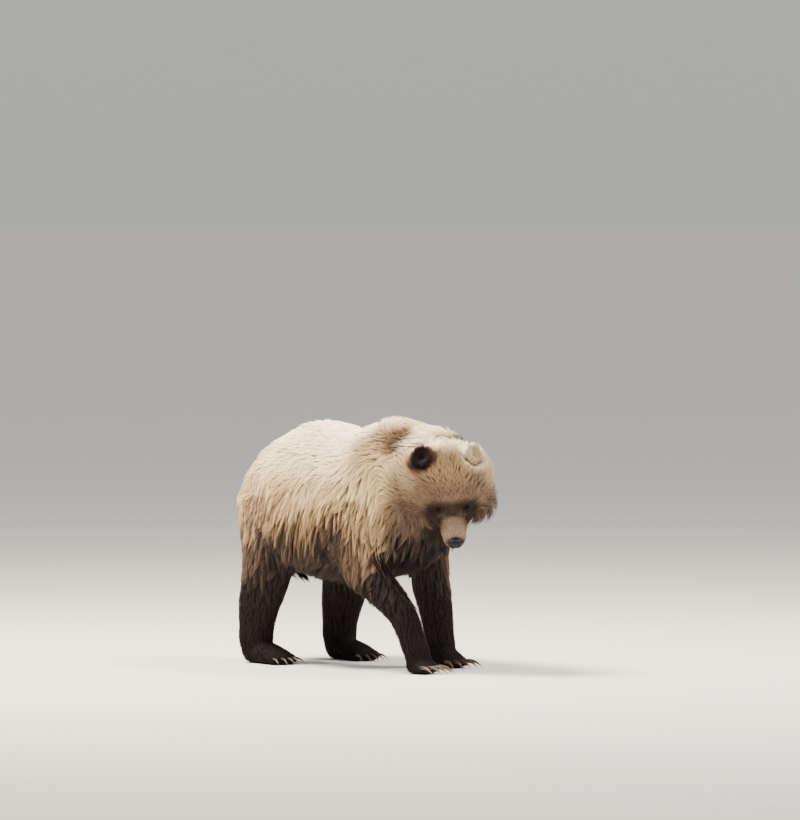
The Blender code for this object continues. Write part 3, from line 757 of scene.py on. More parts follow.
# %% The marks
# Coat colour by height: cream above, near black below; the pale top is partly painted sunlight and the dark
# low part partly painted shade.
HEIGHTS = {  # metres above the ground
    0.00: "#1c1719", 0.22: "#201a1b", 0.34: "#251e1f", 0.44: "#2a2223", 0.52: "#382c28", 0.58: "#56443a",
    0.63: "#83694b", 0.70: "#b99b70", 0.77: "#d8bc90", 0.83: "#f4dfb8", 0.92: "#fbeccb", 1.02: "#f8e8c6",
}
BODY_MARKS = {  # colour, middle, radii, softness, strength
    # The back's near white is cream fur and painted sunlight on top.
    "saddle_and_painted_sun": ("#fff0d0", (-0.18, 0.0, 0.98), (0.52, 0.24, 0.15), 0.5, 0.95),
    "rump": ("#c2a27b", (-0.62, 0.0, 0.76), (0.22, 0.36, 0.20), 0.6, 0.9),
    "shoulder": ("#94744a", (0.33, 0.18, 0.88), (0.135, 0.12, 0.12), 0.5, 0.85),
    "hump_rim": ("#bd9c70", (0.37, 0.0, 0.98), (0.15, 0.15, 0.07), 0.6, 0.85),
    "hump": ("#4a3625", (0.420, 0.12, 0.935), (0.125, 0.100, 0.080), 0.6, 1.0),
    # The pale top of the neck is cream fur and painted sunlight on top.
    "nape": ("#f8e7c8", (0.52, 0.0, 0.97), (0.12, 0.10, 0.07), 0.5, 0.95),
    "neck_side": ("#d5b78a", (0.37, 0.22, 0.77), (0.12, 0.10, 0.10), 0.5, 0.8),
    # The chest and the neck under the head (this mark and the next) are dark fur with painted shade of the
    # lowered head.
    "chest": ("#16121a", (0.44, 0.0, 0.52), (0.18, 0.18, 0.14), 0.3, 0.98),
    "ruff": ("#2b2326", (0.42, 0.13, 0.58), (0.090, 0.11, 0.085), 0.5, 0.95),
    "thigh": ("#5f4c41", (-0.43, 0.28, 0.51), (0.13, 0.10, 0.14), 0.5, 0.85),
    "haunch": ("#ab8e6c", (-0.42, 0.29, 0.62), (0.15, 0.12, 0.07), 0.5, 0.8),
    "upper_arm": ("#a98d69", (0.32, 0.25, 0.57), (0.08, 0.09, 0.09), 0.6, 0.9),
    "elbow": ("#6c5546", (0.26, 0.29, 0.44), (0.08, 0.08, 0.09), 0.6, 0.85),
}
HEAD_MARKS = {
    # The head's brown, darkened by painted shade, since the face is turned away from the light.
    "head": ("#7f6753", (-0.22, 0.0, 0.01), (0.25, 0.23, 0.22), 0.2, 1.0),
    "forehead": ("#a88862", (-0.285, 0.0, 0.155), (0.090, 0.11, 0.075), 0.4, 1.0),
    "temple": ("#b99e80", (-0.285, 0.155, 0.085), (0.060, 0.050, 0.070), 0.5, 0.8),
    "crown": ("#f8e6c6", (-0.40, 0.0, 0.15), (0.075, 0.16, 0.13), 0.35, 1.0),
    # Dark cheek: brown fur with painted shade under the lowered head.
    "cheek": ("#4f3f38", (-0.160, 0.140, -0.050), (0.095, 0.090, 0.070), 0.6, 0.9),
    # Black throat: dark fur with painted shade under the lowered head.
    "throat": ("#1d171a", (-0.23, 0.0, -0.14), (0.19, 0.19, 0.085), 0.3, 0.97),
    # Painted shade beside the muzzle, over its brown.
    "muzzle_side_painted_shade": ("#2b2222", (-0.120, 0.078, -0.012), (0.056, 0.042, 0.062), 0.5, 0.95),
    "muzzle": ("#9f8573", (-0.052, 0.0, 0.018), (0.060, 0.042, 0.050), 0.5, 0.95),
    # Painted shade under the brow, through the eyes and between them (this mark and the next).
    "eye_band_painted_shade": ("#241b1d", (-0.143, 0.066, 0.044), (0.026, 0.056, 0.044), 0.5, 0.97),
    "between_eyes_painted_shade": ("#352927", (-0.132, 0.0, 0.050), (0.024, 0.052, 0.032), 0.5, 0.92),
    "nose_edge": ("#332a2b", (-0.014, 0.0, 0.002), (0.020, 0.038, 0.032), 0.4, 0.9),
    "chin": ("#a5907f", (-0.040, 0.0, -0.068), (0.045, 0.040, 0.014), 0.5, 0.9),
}
EAR_MARKS = {  # the left ear is painted pale, as sunlight on its back and rim, and its cup a light tan to match
    "right": {
        "ear": ("#6e5140", (0.0, 0.0, 0.0), (0.050, 0.075, 0.075), 0.2, 1.0),
        "ear_back": ("#d5ba92", (-0.026, 0.0, 0.0), (0.016, 0.060, 0.060), 0.5, 0.8),
        "cup": ("#211819", (0.014, 0.0, -0.004), (0.034, 0.052, 0.055), 0.25, 1.0),
    },
    "left": {
        "ear": ("#e6cfab", (0.0, 0.0, 0.0), (0.050, 0.075, 0.075), 0.3, 1.0),
        "cup": ("#b89a76", (0.014, 0.0, -0.012), (0.028, 0.036, 0.038), 0.5, 0.9),
    },
}
print("marks:", len(BODY_MARKS) + len(HEAD_MARKS) + sum(len(marks) for marks in EAR_MARKS.values()))

# %% [markdown]
# ## Asking for a colour
# The gradient and the marks have no hard edges on a real coat, since the hairs lie over one another. So the
# places are made to waver by a centimetre before the body's marks are asked, and each mark fades out round
# its edge over the share of its radius that its softness gives.

# %% Colours over the body
WAVER = 0.012
WAVER_WIDTH = 0.16


def add_marks(colours, places, marks):
    """Lays each mark over the colours below it."""
    places = on_one_side(places)
    for code, centre, radii, softness, strength in marks.values():
        share = (ramp(how_far(places, centre, radii), 1 + softness, 1 - softness) * strength)[:, None]
        colours = colours * (1 - share) + linear(code) * share
    return colours


def markings(points):
    """The coat's colour at each point, as linear values."""
    wavy = points + np.stack([drift(points, WAVER_WIDTH, seed) for seed in (1, 2, 3)], axis=1) * WAVER
    stops = list(HEIGHTS)
    paints = np.array([linear(HEIGHTS[stop]) for stop in stops])
    colours = np.stack([np.interp(wavy[:, 2], stops, paint) for paint in paints.T], axis=1)
    colours = add_marks(colours, wavy, BODY_MARKS)
    colours = add_marks(colours, on_head(points), HEAD_MARKS)
    for side in EARS:
        colours = add_marks(colours, on_ear(points, side), EAR_MARKS[side])
    return colours


print("the top of the back in linear values:", markings(np.array([[0.0, 0.0, CAD_BOX[1].z]]))[0].round(2))

# %% [markdown]
# ## The skin
# Through a parted coat one sees dull, darker under-fur rather than bare skin, so the skin is painted with the
# markings, darkened, partly as under-fur is and partly as painted shade deep in the coat. On the lips it
# really is bare, black leather.

# %% The skin piece
UNDER_FUR = 0.55  # the under-fur's brightness against the marking, with painted shade deep in the coat


def finish_skin():
    """Puts the sunk points into the net and paints it."""
    body.vertices.foreach_set("co", S.astype(np.float32).reshape(-1))
    work = bmesh.new()
    work.from_mesh(body)
    bmesh.ops.triangulate(work, faces=work.faces)
    work.to_mesh(body)
    work.free()
    body.polygons.foreach_set("use_smooth", np.ones(len(body.polygons), dtype=bool))
    body.update()
    bare = np.clip(groove * 1.4, 0, 1)[:, None]
    paint(body, "markings", markings(P) * UNDER_FUR * (1 - bare) + linear("#1d1716") * bare)
    return shown("skin", body)


def skin_material():
    # Dense under-fur seen between the guard hairs; on the lips, black skin.
    made, tree, shader = new_material("under_fur", Roughness=0.8, Specular_IOR_Level=0.05)
    colour = add_node(tree, "ShaderNodeAttribute", attribute_name="markings")
    place = add_node(tree, "ShaderNodeTexCoord")
    grain = add_node(tree, "ShaderNodeTexNoise", {"Vector": place.outputs["Object"]}, Scale=420.0, Detail=3.0)
    bump = add_node(tree, "ShaderNodeBump", {"Height": grain.outputs["Fac"]}, Strength=0.4, Distance=0.002)
    tree.links.new(colour.outputs["Color"], shader.inputs["Base Color"])
    tree.links.new(bump.outputs["Normal"], shader.inputs["Normal"])
    return made


skin = finish_skin()
body.materials.clear()
body.materials.append(skin_material())
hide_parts(*FLESH)
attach(skin, "root")
print("skin:", len(body.polygons), "triangles")

# %% [markdown]
# ## The lie of the coat
# Fur lies the way water would run off an animal that stands and walks: back from the nose over the head,
# back along the spine, down and back over the flanks, down the legs, and forward over the toes. Each zone
# gets such a direction; it is laid flat onto the skin, evened out, and then turned a little here and there,
# because a coat is never quite combed.

# %% Directions over the skin
DOWN = np.array((0.0, 0.0, -1.0))
LIES = {
    "back": (-1.0, 0.0, -0.1), "hump": (-1.0, 0.0, -0.25), "flank": (-0.24, 0.0, -0.97),
    "fringe": (-0.14, 0.0, -1.0), "belly": (-0.80, 0.0, -0.60), "rump": (-0.18, 0.0, -1.0),
    "neck": (-0.75, 0.0, -0.65), "ruff": (-0.40, 0.0, -0.90), "limb": (-0.22, 0.0, -1.0),
    "shin": (-0.05, 0.0, -1.0), "paw": (0.75, 0.0, -0.65), "sole": (1.0, 0.0, 0.0), "tail": (-0.1, 0.0, -1.0),
    "jowl": (0.05, 0.0, -1.0), "pants": (0.30, 0.0, -1.0),
}
SWIRL = 0.22
SWIRL_WIDTH = 0.22


def turned(directions, axes, angles):
    """Directions turned about axes at right angles to them."""
    across = np.cross(axes, directions)
    return directions * np.cos(angles)[:, None] + across * np.sin(angles)[:, None]


N = normals_of(body)
from_nose = unit(P - np.array(HEAD @ Vector((0.02, 0.0, 0.01))))
lie = np.zeros((COUNT, 3))
for name, direction in LIES.items():
    lie += zone[name][:, None] * unit(np.array(direction))
for name in ("muzzle", "chin", "forehead", "crown"):
    lie += zone[name][:, None] * from_nose
lie += zone["cheek"][:, None] * unit(from_nose + DOWN * 0.45)
for side, eye in EYES.items():
    near = ramp(np.linalg.norm(P - np.array(eye), axis=1), 0.045, 0.02)[:, None]
    lie += near * unit(unit(P - np.array(eye)) + from_nose * 0.8)
for side in EARS:
    upright = np.array(EARS[side])[:3, 2]
    lie += PART["ear_" + side][:, None] * upright
lie = spread_over(SKIN_EDGES, COUNT, lie, 5)
lie = unit(lie - N * (lie * N).sum(axis=1, keepdims=True))
lie = turned(lie, N, SWIRL * drift(P, SWIRL_WIDTH, 11) * ramp(length, 10 * MM, 40 * MM))
print("lie of the coat set at", COUNT, "points")

# %% [markdown]
# ## Roots and locks
# Hair grows all over the skin, so the roots are strewn over its triangles at random, as many to each as the
# zone's spacing asks. Neighbouring tufts then lean together into locks, each round one leading tuft, as real
# fur does when it has been wet and dried. A lock is longer than it is wide, so the leader is looked for in a
# copy of the roots that is squeezed along the flow of the coat.

# %% Roots and leaders
LOCK_SQUEEZE = 0.83


def roots_over(triangles, rng):
    """Random roots, as many for each triangle as its spacing asks, as triangle numbers and corner shares."""
    corners = S[triangles]
    area = np.linalg.norm(np.cross(corners[:, 1] - corners[:, 0], corners[:, 2] - corners[:, 0]), axis=1) / 2
    wanted = np.cumsum(area / spacing[triangles].mean(axis=1) ** 2)
    marks = np.arange(int(wanted[-1])) + rng.random(int(wanted[-1]))
    chosen = np.minimum(np.searchsorted(wanted, marks), len(triangles) - 1)
    u, v = rng.random(len(marks)), rng.random(len(marks))
    over = u + v > 1
    u[over], v[over] = 1 - u[over], 1 - v[over]
    return chosen, np.stack([1 - u - v, u, v], axis=1)


def leaders_of(roots, along, lock_size, rng):
    """For each root, the number of the root that leads its lock."""
    flow = unit(along.mean(axis=0))
    squeezed = roots - (roots @ flow)[:, None] * flow * LOCK_SQUEEZE
    chosen = rng.permutation(len(roots))[: max(1, int(len(roots) / lock_size))]
    tree = KDTree(len(chosen))
    for number in chosen:
        tree.insert(squeezed[number], int(number))
    tree.balance()
    return np.array([tree.find(root)[1] for root in squeezed])


print("roots stand", round(spacing.min() / MM, 1), "to", round(spacing.max() / MM, 1), "mm apart")

# %% [markdown]
# ## The line of a tuft
# A tuft leaves the skin steeply and bends over to lie along the body, and a long one also hangs a little. Its
# line starts just under the skin. Then the whole lock is drawn together: each tuft is pulled towards its
# leader, more so near the tip and in shaggy zones, but hardly along the flow, so the lock stays long.

# %% Tuft lines
KNOTS = 5  # points along the full curve of a tuft
ROOT_DEPTH = 1.5 * MM
BEND = 1.6  # the lift at the root, against the zone's mean lift
HANG = 0.45


def curves_of(roots, out, along, long, steep):
    """The centre-lines of tufts: one table of KNOTS points each."""
    curves = np.empty((len(roots), KNOTS, 3))
    curves[:, 0] = roots - out * ROOT_DEPTH
    for k in range(1, KNOTS):
        s = (k - 0.5) / (KNOTS - 1)
        angle = (steep * BEND * (1 - s))[:, None]
        hang = DOWN * (np.clip(long / 0.1, 0, 1) * HANG * s)[:, None]
        step = unit(along * np.cos(angle) + out * np.sin(angle) + hang)
        curves[:, k] = curves[:, k - 1] + step * (long / (KNOTS - 1))[:, None]
    return curves


def drawn_together(curves, leader, along, shaggy):
    """The same lines, pulled towards the leader of their lock."""
    pull = (0.35 + 0.45 * shaggy)[:, None] * np.linspace(0, 1, KNOTS)[None] ** 1.2
    to_leader = curves[leader] - curves
    flow = along[leader][:, None]
    to_leader -= flow * (to_leader * flow).sum(axis=2, keepdims=True) * 0.85
    return curves + to_leader * pull[..., None]


print("a tuft's line has", KNOTS, "points")

# %% [markdown]
# ## The blade of a tuft
# Each tuft is a closed three-sided blade that tapers to a point: a pinch of hairs that cling together. Three
# sides are the fewest that hold a volume. Its normals lean outwards from the skin rather than square to its
# own narrow faces, so the coat catches the light as one surface and doesn't glitter.

# %% Blades
SIDES = ((0, 1), (1, 2), (2, 0))


def rings_round(curves, out, wide, shares):
    """Three corners round each place along the lines, the way each corner faces, and the lines' ends."""
    at = shares * (KNOTS - 1)
    low = np.minimum(at.astype(int), KNOTS - 2)
    line = curves[:, low] + (curves[:, low + 1] - curves[:, low]) * (at - low)[None, :, None]
    ahead = unit(np.gradient(line, axis=1))
    across = unit(np.cross(ahead, out[:, None]))
    above = np.cross(across, ahead)
    taper = (1 - shares**2.2) * (0.7 + 0.3 * np.clip(shares / 0.3, 0, 1))
    half = (wide[:, None] * taper / 2)[..., None]
    ring = np.stack([line - across * half, line + across * half, line + above * half * 0.7], axis=2)
    lean = out[:, None] * 0.9
    facing = np.stack([unit(lean - across * 0.6), unit(lean + across * 0.6), unit(lean + above)], axis=2)
    return ring, facing, line[:, -1:]


def blades(curves, out, wide, segments):
    """Closed blades round the lines: points, normals, share along, share across, quads and triangles."""
    count = len(curves)
    shares = np.linspace(0, 1, segments + 1)
    ring, facing, tips = rings_round(curves, out, wide, shares)
    points = np.concatenate([ring[:, :segments].reshape(count, -1, 3), tips], axis=1)
    normals = np.concatenate([facing[:, :segments].reshape(count, -1, 3), out[:, None]], axis=1)
    tip = 3 * segments
    steps = range(0, tip - 3, 3)
    quads = [(start + i, start + 3 + i, start + 3 + j, start + j) for start in steps for i, j in SIDES]
    ends = [(0, 1, 2)] + [(tip - 3 + i, tip, tip - 3 + j) for i, j in SIDES]
    along_share = np.append(np.repeat(shares[:segments], 3), 1.0)
    side_share = np.append(np.tile((0.0, 1.0, 0.5), segments), 0.5)
    first = (np.arange(count) * (tip + 1))[:, None, None]
    quads = (first + np.array(quads)[None]).reshape(-1, 4)
    ends = (first + np.array(ends)[None]).reshape(-1, 3)
    return points.reshape(-1, 3), normals.reshape(-1, 3), along_share, side_share, quads, ends


print("a tuft has from 10 to 22 triangles")

# %% [markdown]
# ## Guard hair
# The outer hair of a bear is matt from afar: thousands of fine hairs scatter the light, and only a faint
# gloss is left. The colour comes with each tuft; the material adds fine streaks from hair to hair, which are
# too small to be modelled.

# %% The coat's material


def coat_material():
    # Guard hair: matt, with a soft gloss along its length and fine streaks from hair to hair.
    made, tree, shader = new_material("guard_hair", Roughness=0.7, Specular_IOR_Level=0.1)
    colour = add_node(tree, "ShaderNodeAttribute", attribute_name="markings")
    place = add_node(tree, "ShaderNodeTexCoord")
    grain = add_node(tree, "ShaderNodeTexNoise", {"Vector": place.outputs["Object"]}, Scale=260.0, Detail=2.0)
    spread = add_node(tree, "ShaderNodeMapRange", {"Value": grain.outputs["Fac"]}, To_Min=0.82, To_Max=1.18)
    mix = add_node(tree, "ShaderNodeMix", data_type="RGBA", blend_type="MULTIPLY")
    mix.inputs["Factor"].default_value = 1.0
    tree.links.new(colour.outputs["Color"], mix.inputs["A"])
    tree.links.new(spread.outputs["Result"], mix.inputs["B"])
    tree.links.new(mix.outputs["Result"], shader.inputs["Base Color"])
    return made


guard_hair = coat_material()
print("coat material:", guard_hair.name)

# %% [markdown]
# ## Where no hair grows
# The lips, the nose and the rims of the eyes are bare, and so are the soles where they touch the ground.

# %% Bare places
BARE_ROUND_EYE = EYE_RADIUS + 1.0 * MM
BARE_LIP = 3 * MM
MOUTH_HALF_WIDTH = 0.08
BARE_NOSE = (0.019, 0.029, 0.023)
BARE_SOLE = 1.5 * MM
TRIANGLES = np.array([tuple(p.vertices) for p in body.polygons])
CENTRES = S[TRIANGLES].mean(axis=1)
FIELDS = np.column_stack([N, lie, length, width, lift, depth, shag])


def is_bare(roots):
    """Which roots can carry no tuft."""
    place = on_head(roots)
    on_lips = np.abs(place[:, 2] - lip_height(place[:, 0])) < BARE_LIP
    on_lips &= (place[:, 0] > LIP_BACK + 0.01) & (np.abs(place[:, 1]) < MOUTH_HALF_WIDTH)
    in_nose = how_far(place, NOSE_PLACE, BARE_NOSE) < 1.0
    return on_lips | in_nose | (eye_distance(roots) <= BARE_ROUND_EYE) | (roots[:, 2] <= BARE_SOLE)


def rooted(triangles, rng):
    """Roots in these triangles, and the coat's fields at each."""
    picked, corner = roots_over(triangles, rng)
    corners = triangles[picked]
    roots = (S[corners] * corner[..., None]).sum(axis=1)
    fields = (FIELDS[corners] * corner[..., None]).sum(axis=1)
    keep = ~is_bare(roots)
    return roots[keep], fields[keep]


print("skin with no hair:", int(is_bare(CENTRES).sum()), "of", len(TRIANGLES), "triangles")

# %% [markdown]
# ## Growing one piece of the coat
# Every tuft varies a little on its own, in length, width and lift, and a little more with its whole lock. Its
# colour is the marking at its root, darker deep in the coat, partly as the hair is and partly as painted shade
# between the tufts, most so in shaggy zones, and paler at the tip; whole locks differ in brightness, and in
# shaggy zones a lock may take its colour from a little higher or lower, which breaks up the line between blond
# and brown. Each piece has an unwrap of its own, round the part as one axis and along it as the other. A tuft
# takes a tiny patch on it at its root's place, running from root to tip, which is all that its few colours
# need.

# %% Growing one piece
PATCH = 0.003  # size of a tuft's patch on the unwrap
UNWRAP_RIM, UNWRAP_SPAN = 0.012, 0.972  # the rim that is left free, and what the roots fill
PALE_TIP = linear("#f3e4c6")
SHORT, LONG = 32 * MM, 75 * MM  # tufts under these lengths get two and three stretches, longer ones four
LOCK_CLIMB = 0.13
TUFT_FLOOR = 0.5 * MM


def unwrap(roots, axis):
    """Round the part and along it, both from 0 to 1, with a rim left free."""
    others = [i for i in range(3) if i != axis]
    flat = roots[:, others] - roots[:, others].mean(axis=0)
    spots = np.column_stack([np.arctan2(flat[:, 0], flat[:, 1]), roots[:, axis]])
    spots = (spots - spots.min(axis=0)) / np.ptp(spots, axis=0)
    return UNWRAP_RIM + spots * UNWRAP_SPAN


def shaded(base, pale, shaggy, s):
    """Colours of tufts at these shares of their length."""
    root_shade = (0.50 - 0.18 * shaggy)[:, None]
    shade = (root_shade + (1.12 - root_shade) * ramp(s, -0.1, 0.75)[None])[..., None]
    tint = (pale * (s**2)[None])[..., None]
    return base[:, None] * shade * (1 - tint) + PALE_TIP * tint


def coat_piece(name, points, normals, colours, uv, faces):
    """One mesh of the coat, with its colours, unwrap and normals."""
    points[:, 2] = np.maximum(points[:, 2], TUFT_FLOOR)
    made = new_mesh(name, points, faces)
    mesh = made.data
    paint(mesh, "markings", np.clip(colours, 0, 1))
    layer = mesh.uv_layers.new(name="OFBake")
    corner_points = np.empty(len(mesh.loops), dtype=np.int32)
    mesh.loops.foreach_get("vertex_index", corner_points)
    layer.data.foreach_set("uv", uv[corner_points].astype(np.float32).reshape(-1))
    mesh.polygons.foreach_set("use_smooth", np.ones(len(mesh.polygons), dtype=bool))
    mesh.normals_split_custom_set_from_vertices(unit(normals))
    mesh.materials.append(guard_hair)
    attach(made, "root")


def grow(name, chosen, axis, lock_size, seed):
    """Grows the tufts whose roots are in the chosen triangles, as one piece, and counts its triangles."""
    rng = np.random.default_rng(seed)
    roots, fields = rooted(TRIANGLES[chosen], rng)
    out, along = unit(fields[:, :3]), unit(fields[:, 3:6])
    long, wide, steep, deep, shaggy = fields[:, 6:].T
    leader = leaders_of(roots, along, lock_size, rng)
    lock = rng.random((len(roots), 4))[leader]
    own = rng.random((len(roots), 5))
    long = long * (0.72 + 0.36 * own[:, 0] + 0.16 * lock[:, 0])
    steep = steep * (0.75 + 0.3 * own[:, 1] + 0.25 * lock[:, 1])
    wide = wide * (0.8 + 0.4 * own[:, 2])
    along = turned(along, out, (own[:, 3] - 0.5) * 0.35 + (lock[:, 2] - 0.5) * 0.5)
    curves = drawn_together(curves_of(roots, out, along, long, steep), leader, along, shaggy)
    climb = DOWN * ((lock[:, 3] - 0.5) * -LOCK_CLIMB * shaggy)[:, None]
    base = markings(roots + out * deep[:, None] + climb)
    light = 1.0 + 0.12 * (own[:, 4] - 0.5) + (0.10 + 0.30 * shaggy) * (lock[:, 3] - 0.5)
    pale = (np.clip(base.mean(axis=1) / 0.5, 0, 1) * 0.30)[:, None]
    base = base * light[:, None]
    spots = unwrap(roots, axis)
    stretches = np.where(long < SHORT, 2, np.where(long < LONG, 3, 4))
    parts = []
    total = 0
    for segments in np.unique(stretches):
        group = stretches == segments
        points, normals, s, t, quads, ends = blades(curves[group], out[group], wide[group], segments)
        colours = shaded(base[group], pale[group], shaggy[group], s)
        uv = spots[group][:, None] + np.column_stack([t, s])[None] * PATCH
        looks = (colours.reshape(-1, 3), uv.reshape(-1, 2))
        parts.append((points, normals, *looks, quads + total, ends + total))
        total += len(points)
    points, normals, colours, uv, quads, ends = (np.concatenate(tables) for tables in zip(*parts))
    coat_piece(name, points, normals, colours, uv, [quads, ends])
    triangles = len(quads) * 2 + len(ends)
    print(name, len(roots), "tufts,", triangles, "triangles")
    return triangles


# %% [markdown]
# ## The whole coat
# The coat is cut into pieces by the part of the body, so that each stays of a handy size. The trunk's hair is
# one piece for the back, one for each flank and one for the belly.

# %% All pieces of the coat
owner = nearest[TRIANGLES[:, 0]]
facing_up = N[TRIANGLES].mean(axis=1)[:, 2]
head_side = on_head(CENTRES)[:, 1]


def of(*names):
    """Triangles that lie on these solids."""
    return np.isin(owner, [FLESH.index(name) for name in names])


on_trunk = of("trunk")
on_back = on_trunk & (facing_up > 0.5)
on_belly = on_trunk & (facing_up < -0.45)
on_side = on_trunk & ~on_back & ~on_belly
left = CENTRES[:, 1] > 0
COAT = {  # triangles, axis of the unwrap, tufts to a lock
    "coat_face": (of("muzzle", "lower_jaw"), 0, 5),
    "coat_head_left": (of("head") & (head_side > 0), 2, 9),
    "coat_head_right": (of("head") & (head_side <= 0), 2, 9),
    "coat_ears": (of("ear_left", "ear_right"), 2, 6),
    "coat_neck": (of("neck"), 0, 12),
    "coat_back": (on_back, 0, 10),
    "coat_flank_left": (on_side & left, 0, 10),
    "coat_flank_right": (on_side & ~left, 0, 10),
    "coat_belly": (on_belly, 0, 12),
    "coat_tail": (of("tail"), 2, 12),
    "coat_foreleg_left": (of("foreleg_left", "forepaw_left"), 2, 12),
    "coat_foreleg_right": (of("foreleg_right", "forepaw_right"), 2, 12),
    "coat_hindleg_left": (of("hindleg_left", "hindpaw_left"), 2, 12),
    "coat_hindleg_right": (of("hindleg_right", "hindpaw_right"), 2, 12),
}
coat_triangles = 0
for seed, (name, (chosen, axis, lock_size)) in enumerate(COAT.items()):
    coat_triangles += grow(name, chosen, axis, lock_size, seed + 40)
print("coat:", coat_triangles, "triangles in all")

# %% [markdown]
# ## Balls and pieces
# The eyeballs and the nose both start as balls made of rings of points, which a helper joins with faces.
# Another helper gives a finished piece its material and its place on the body. Where a piece stands for
# solids, it also hides them.

# %% Helpers for balls and pieces
def ball_angles(rows, columns):
    """Angles of a ball's rings from its front, and of the points round each ring."""
    tilt = np.linspace(0, math.pi, rows + 1)[1:-1]
    turn = np.linspace(0, 2 * math.pi, columns, endpoint=False)
    return tilt, turn


def ball_faces(rows, columns):
    """Faces of a ball whose points come ring by ring from its front, then its two poles."""
    i, j = np.meshgrid(np.arange(rows - 1), np.arange(columns), indexing="ij")
    k = (j + 1) % columns
    ring, next_ring = i * columns, (i + 1) * columns
    quads = np.stack([ring + j, next_ring + j, next_ring + k, ring + k], axis=-1)
    j = np.arange(columns)
    k = (j + 1) % columns
    last = (rows - 1) * columns
    front = np.column_stack([np.full(columns, rows * columns), j, k])
    back = np.column_stack([np.full(columns, rows * columns + 1), last + k, last + j])
    return [quads.reshape(-1, 4), np.concatenate([front, back])]


def frame_round(direction, towards):
    """Two directions at right angles to the first: one as near as can be to towards, and one across both."""
    first = Vector(towards) - direction * direction.dot(Vector(towards))
    first.normalize()
    return first, direction.cross(first)


def outward_faces(mesh):
    """Turns a closed mesh's faces outwards."""
    work = bmesh.new()
    work.from_mesh(mesh)
    bmesh.ops.recalc_face_normals(work, faces=work.faces)
    work.to_mesh(mesh)
    work.free()


def add_piece(made, material, slot, *nodes):
    """Gives a piece its material and its place on the body, and hides the solids that it stands for."""
    outward_faces(made.data)
    made.data.polygons.foreach_set("use_smooth", np.ones(len(made.data.polygons), dtype=bool))
    made.data.materials.append(material)
    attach(made, "root")
    if nodes:
        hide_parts(*nodes)
    print(made.name, len(made.data.polygons), "faces")


print("a ball of 5 rings of 8 points has", sum(len(faces) for faces in ball_faces(5, 8)), "faces")

# %% [markdown]
# ## The eyes
# A bear's eye is small and deep brown. Each is a whole ball where the solids put it, with the cornea standing
# out a little before the iris. The iris has fine spokes and a dark rim; what little shows of the white is
# brownish. The colours go with the angle from the line of sight, so they are stored on the ball's points.

# %% Eyeballs
BALL_ROWS, BALL_COLUMNS = 40, 48
LOOK_AHEAD = 0.35  # the line of sight lies between outwards and ahead
IRIS_REACH = math.radians(33)
PUPIL_REACH = math.radians(13)
CORNEA_RISE = 0.5 * MM


def eye_colours(tilt, turn):
    """Colours of the ball's points: pupil, spoked iris, dark rim and white, outwards from the sight."""
    angle = np.concatenate([np.repeat(tilt, BALL_COLUMNS), [0.0, math.pi]])
    wave = np.sin(turn * 17) * 0.5 + np.sin(turn * 41) * 0.5
    spokes = np.concatenate([np.tile(wave, BALL_ROWS - 1), [0, 0]])
    rim = ramp(angle, IRIS_REACH * 0.80, IRIS_REACH)[:, None]
    white = ramp(angle, IRIS_REACH, IRIS_REACH * 1.15)[:, None]
    pupil = ramp(angle, PUPIL_REACH * 1.1, PUPIL_REACH * 0.9)[:, None]
    colours = linear("#1c1009") * (1 + 0.35 * spokes[:, None])
    colours = colours * (1 - rim) + linear("#0b0705") * rim
    colours = colours * (1 - white) + linear("#141010") * white
    return colours * (1 - pupil) + linear("#040303") * pupil


def eyeball(side):
    """One ball, with its colours on its points."""
    ahead = head_direction(1, 0, 0)
    sight = (OUTWARD[side] + ahead * LOOK_AHEAD).normalized()
    right, up = frame_round(sight, ahead)
    tilt, turn = ball_angles(BALL_ROWS, BALL_COLUMNS)
    rise = EYE_RADIUS + CORNEA_RISE * ramp(tilt, IRIS_REACH * 1.25, 0.0)
    flat = np.cos(turn)[:, None] * np.array(right) + np.sin(turn)[:, None] * np.array(up)
    rings = np.cos(tilt)[:, None, None] * np.array(sight) + np.sin(tilt)[:, None, None] * flat[None]
    points = (rings * rise[:, None, None]).reshape(-1, 3)
    poles = np.array([np.array(sight) * (EYE_RADIUS + CORNEA_RISE), np.array(sight) * -EYE_RADIUS])
    points = np.concatenate([points, poles]) + np.array(EYES[side])
    made = new_mesh("eye_ball_" + side, points, ball_faces(BALL_ROWS - 1, BALL_COLUMNS))
    paint(made.data, "markings", eye_colours(tilt, turn))
    return made


def eye_material():
    # A wet eyeball: the colour lies under a clear film. The film is thin, because deep-set eyes in the shade
    # of the brow mirror little of the bright room.
    made, tree, shader = new_material("wet_eye", Roughness=0.5, Specular_IOR_Level=0.0)
    shader.inputs["Coat Weight"].default_value = 0.05
    shader.inputs["Coat Roughness"].default_value = 0.02
    colour = add_node(tree, "ShaderNodeAttribute", attribute_name="markings")
    tree.links.new(colour.outputs["Color"], shader.inputs["Base Color"])
    return made


wet_eye = eye_material()
for side in EYES:
    add_piece(eyeball(side), wet_eye, "eye", "eye_" + side)

# %% [markdown]
# ## The eyelids
# Black, hairless skin rims each eye. It is a closed ring of its own: its inner edge hugs the ball along an
# almond opening, it swells over the ball as a lid does, and it runs out flat under the short fur round it.

# %% Lids
LID_COLUMNS = 56
OPENING_HALF_WIDTH = math.radians(45)
OPENING_ABOVE, OPENING_BELOW = math.radians(29), math.radians(23)
ALMOND = 1.5  # 2 would make the opening an ellipse, 1 a diamond
LID_SWELL, UPPER_SWELL = 1.5 * MM, 0.7 * MM
skin_tree = BVHTree.FromPolygons([Vector(p) for p in S], [tuple(t) for t in TRIANGLES])


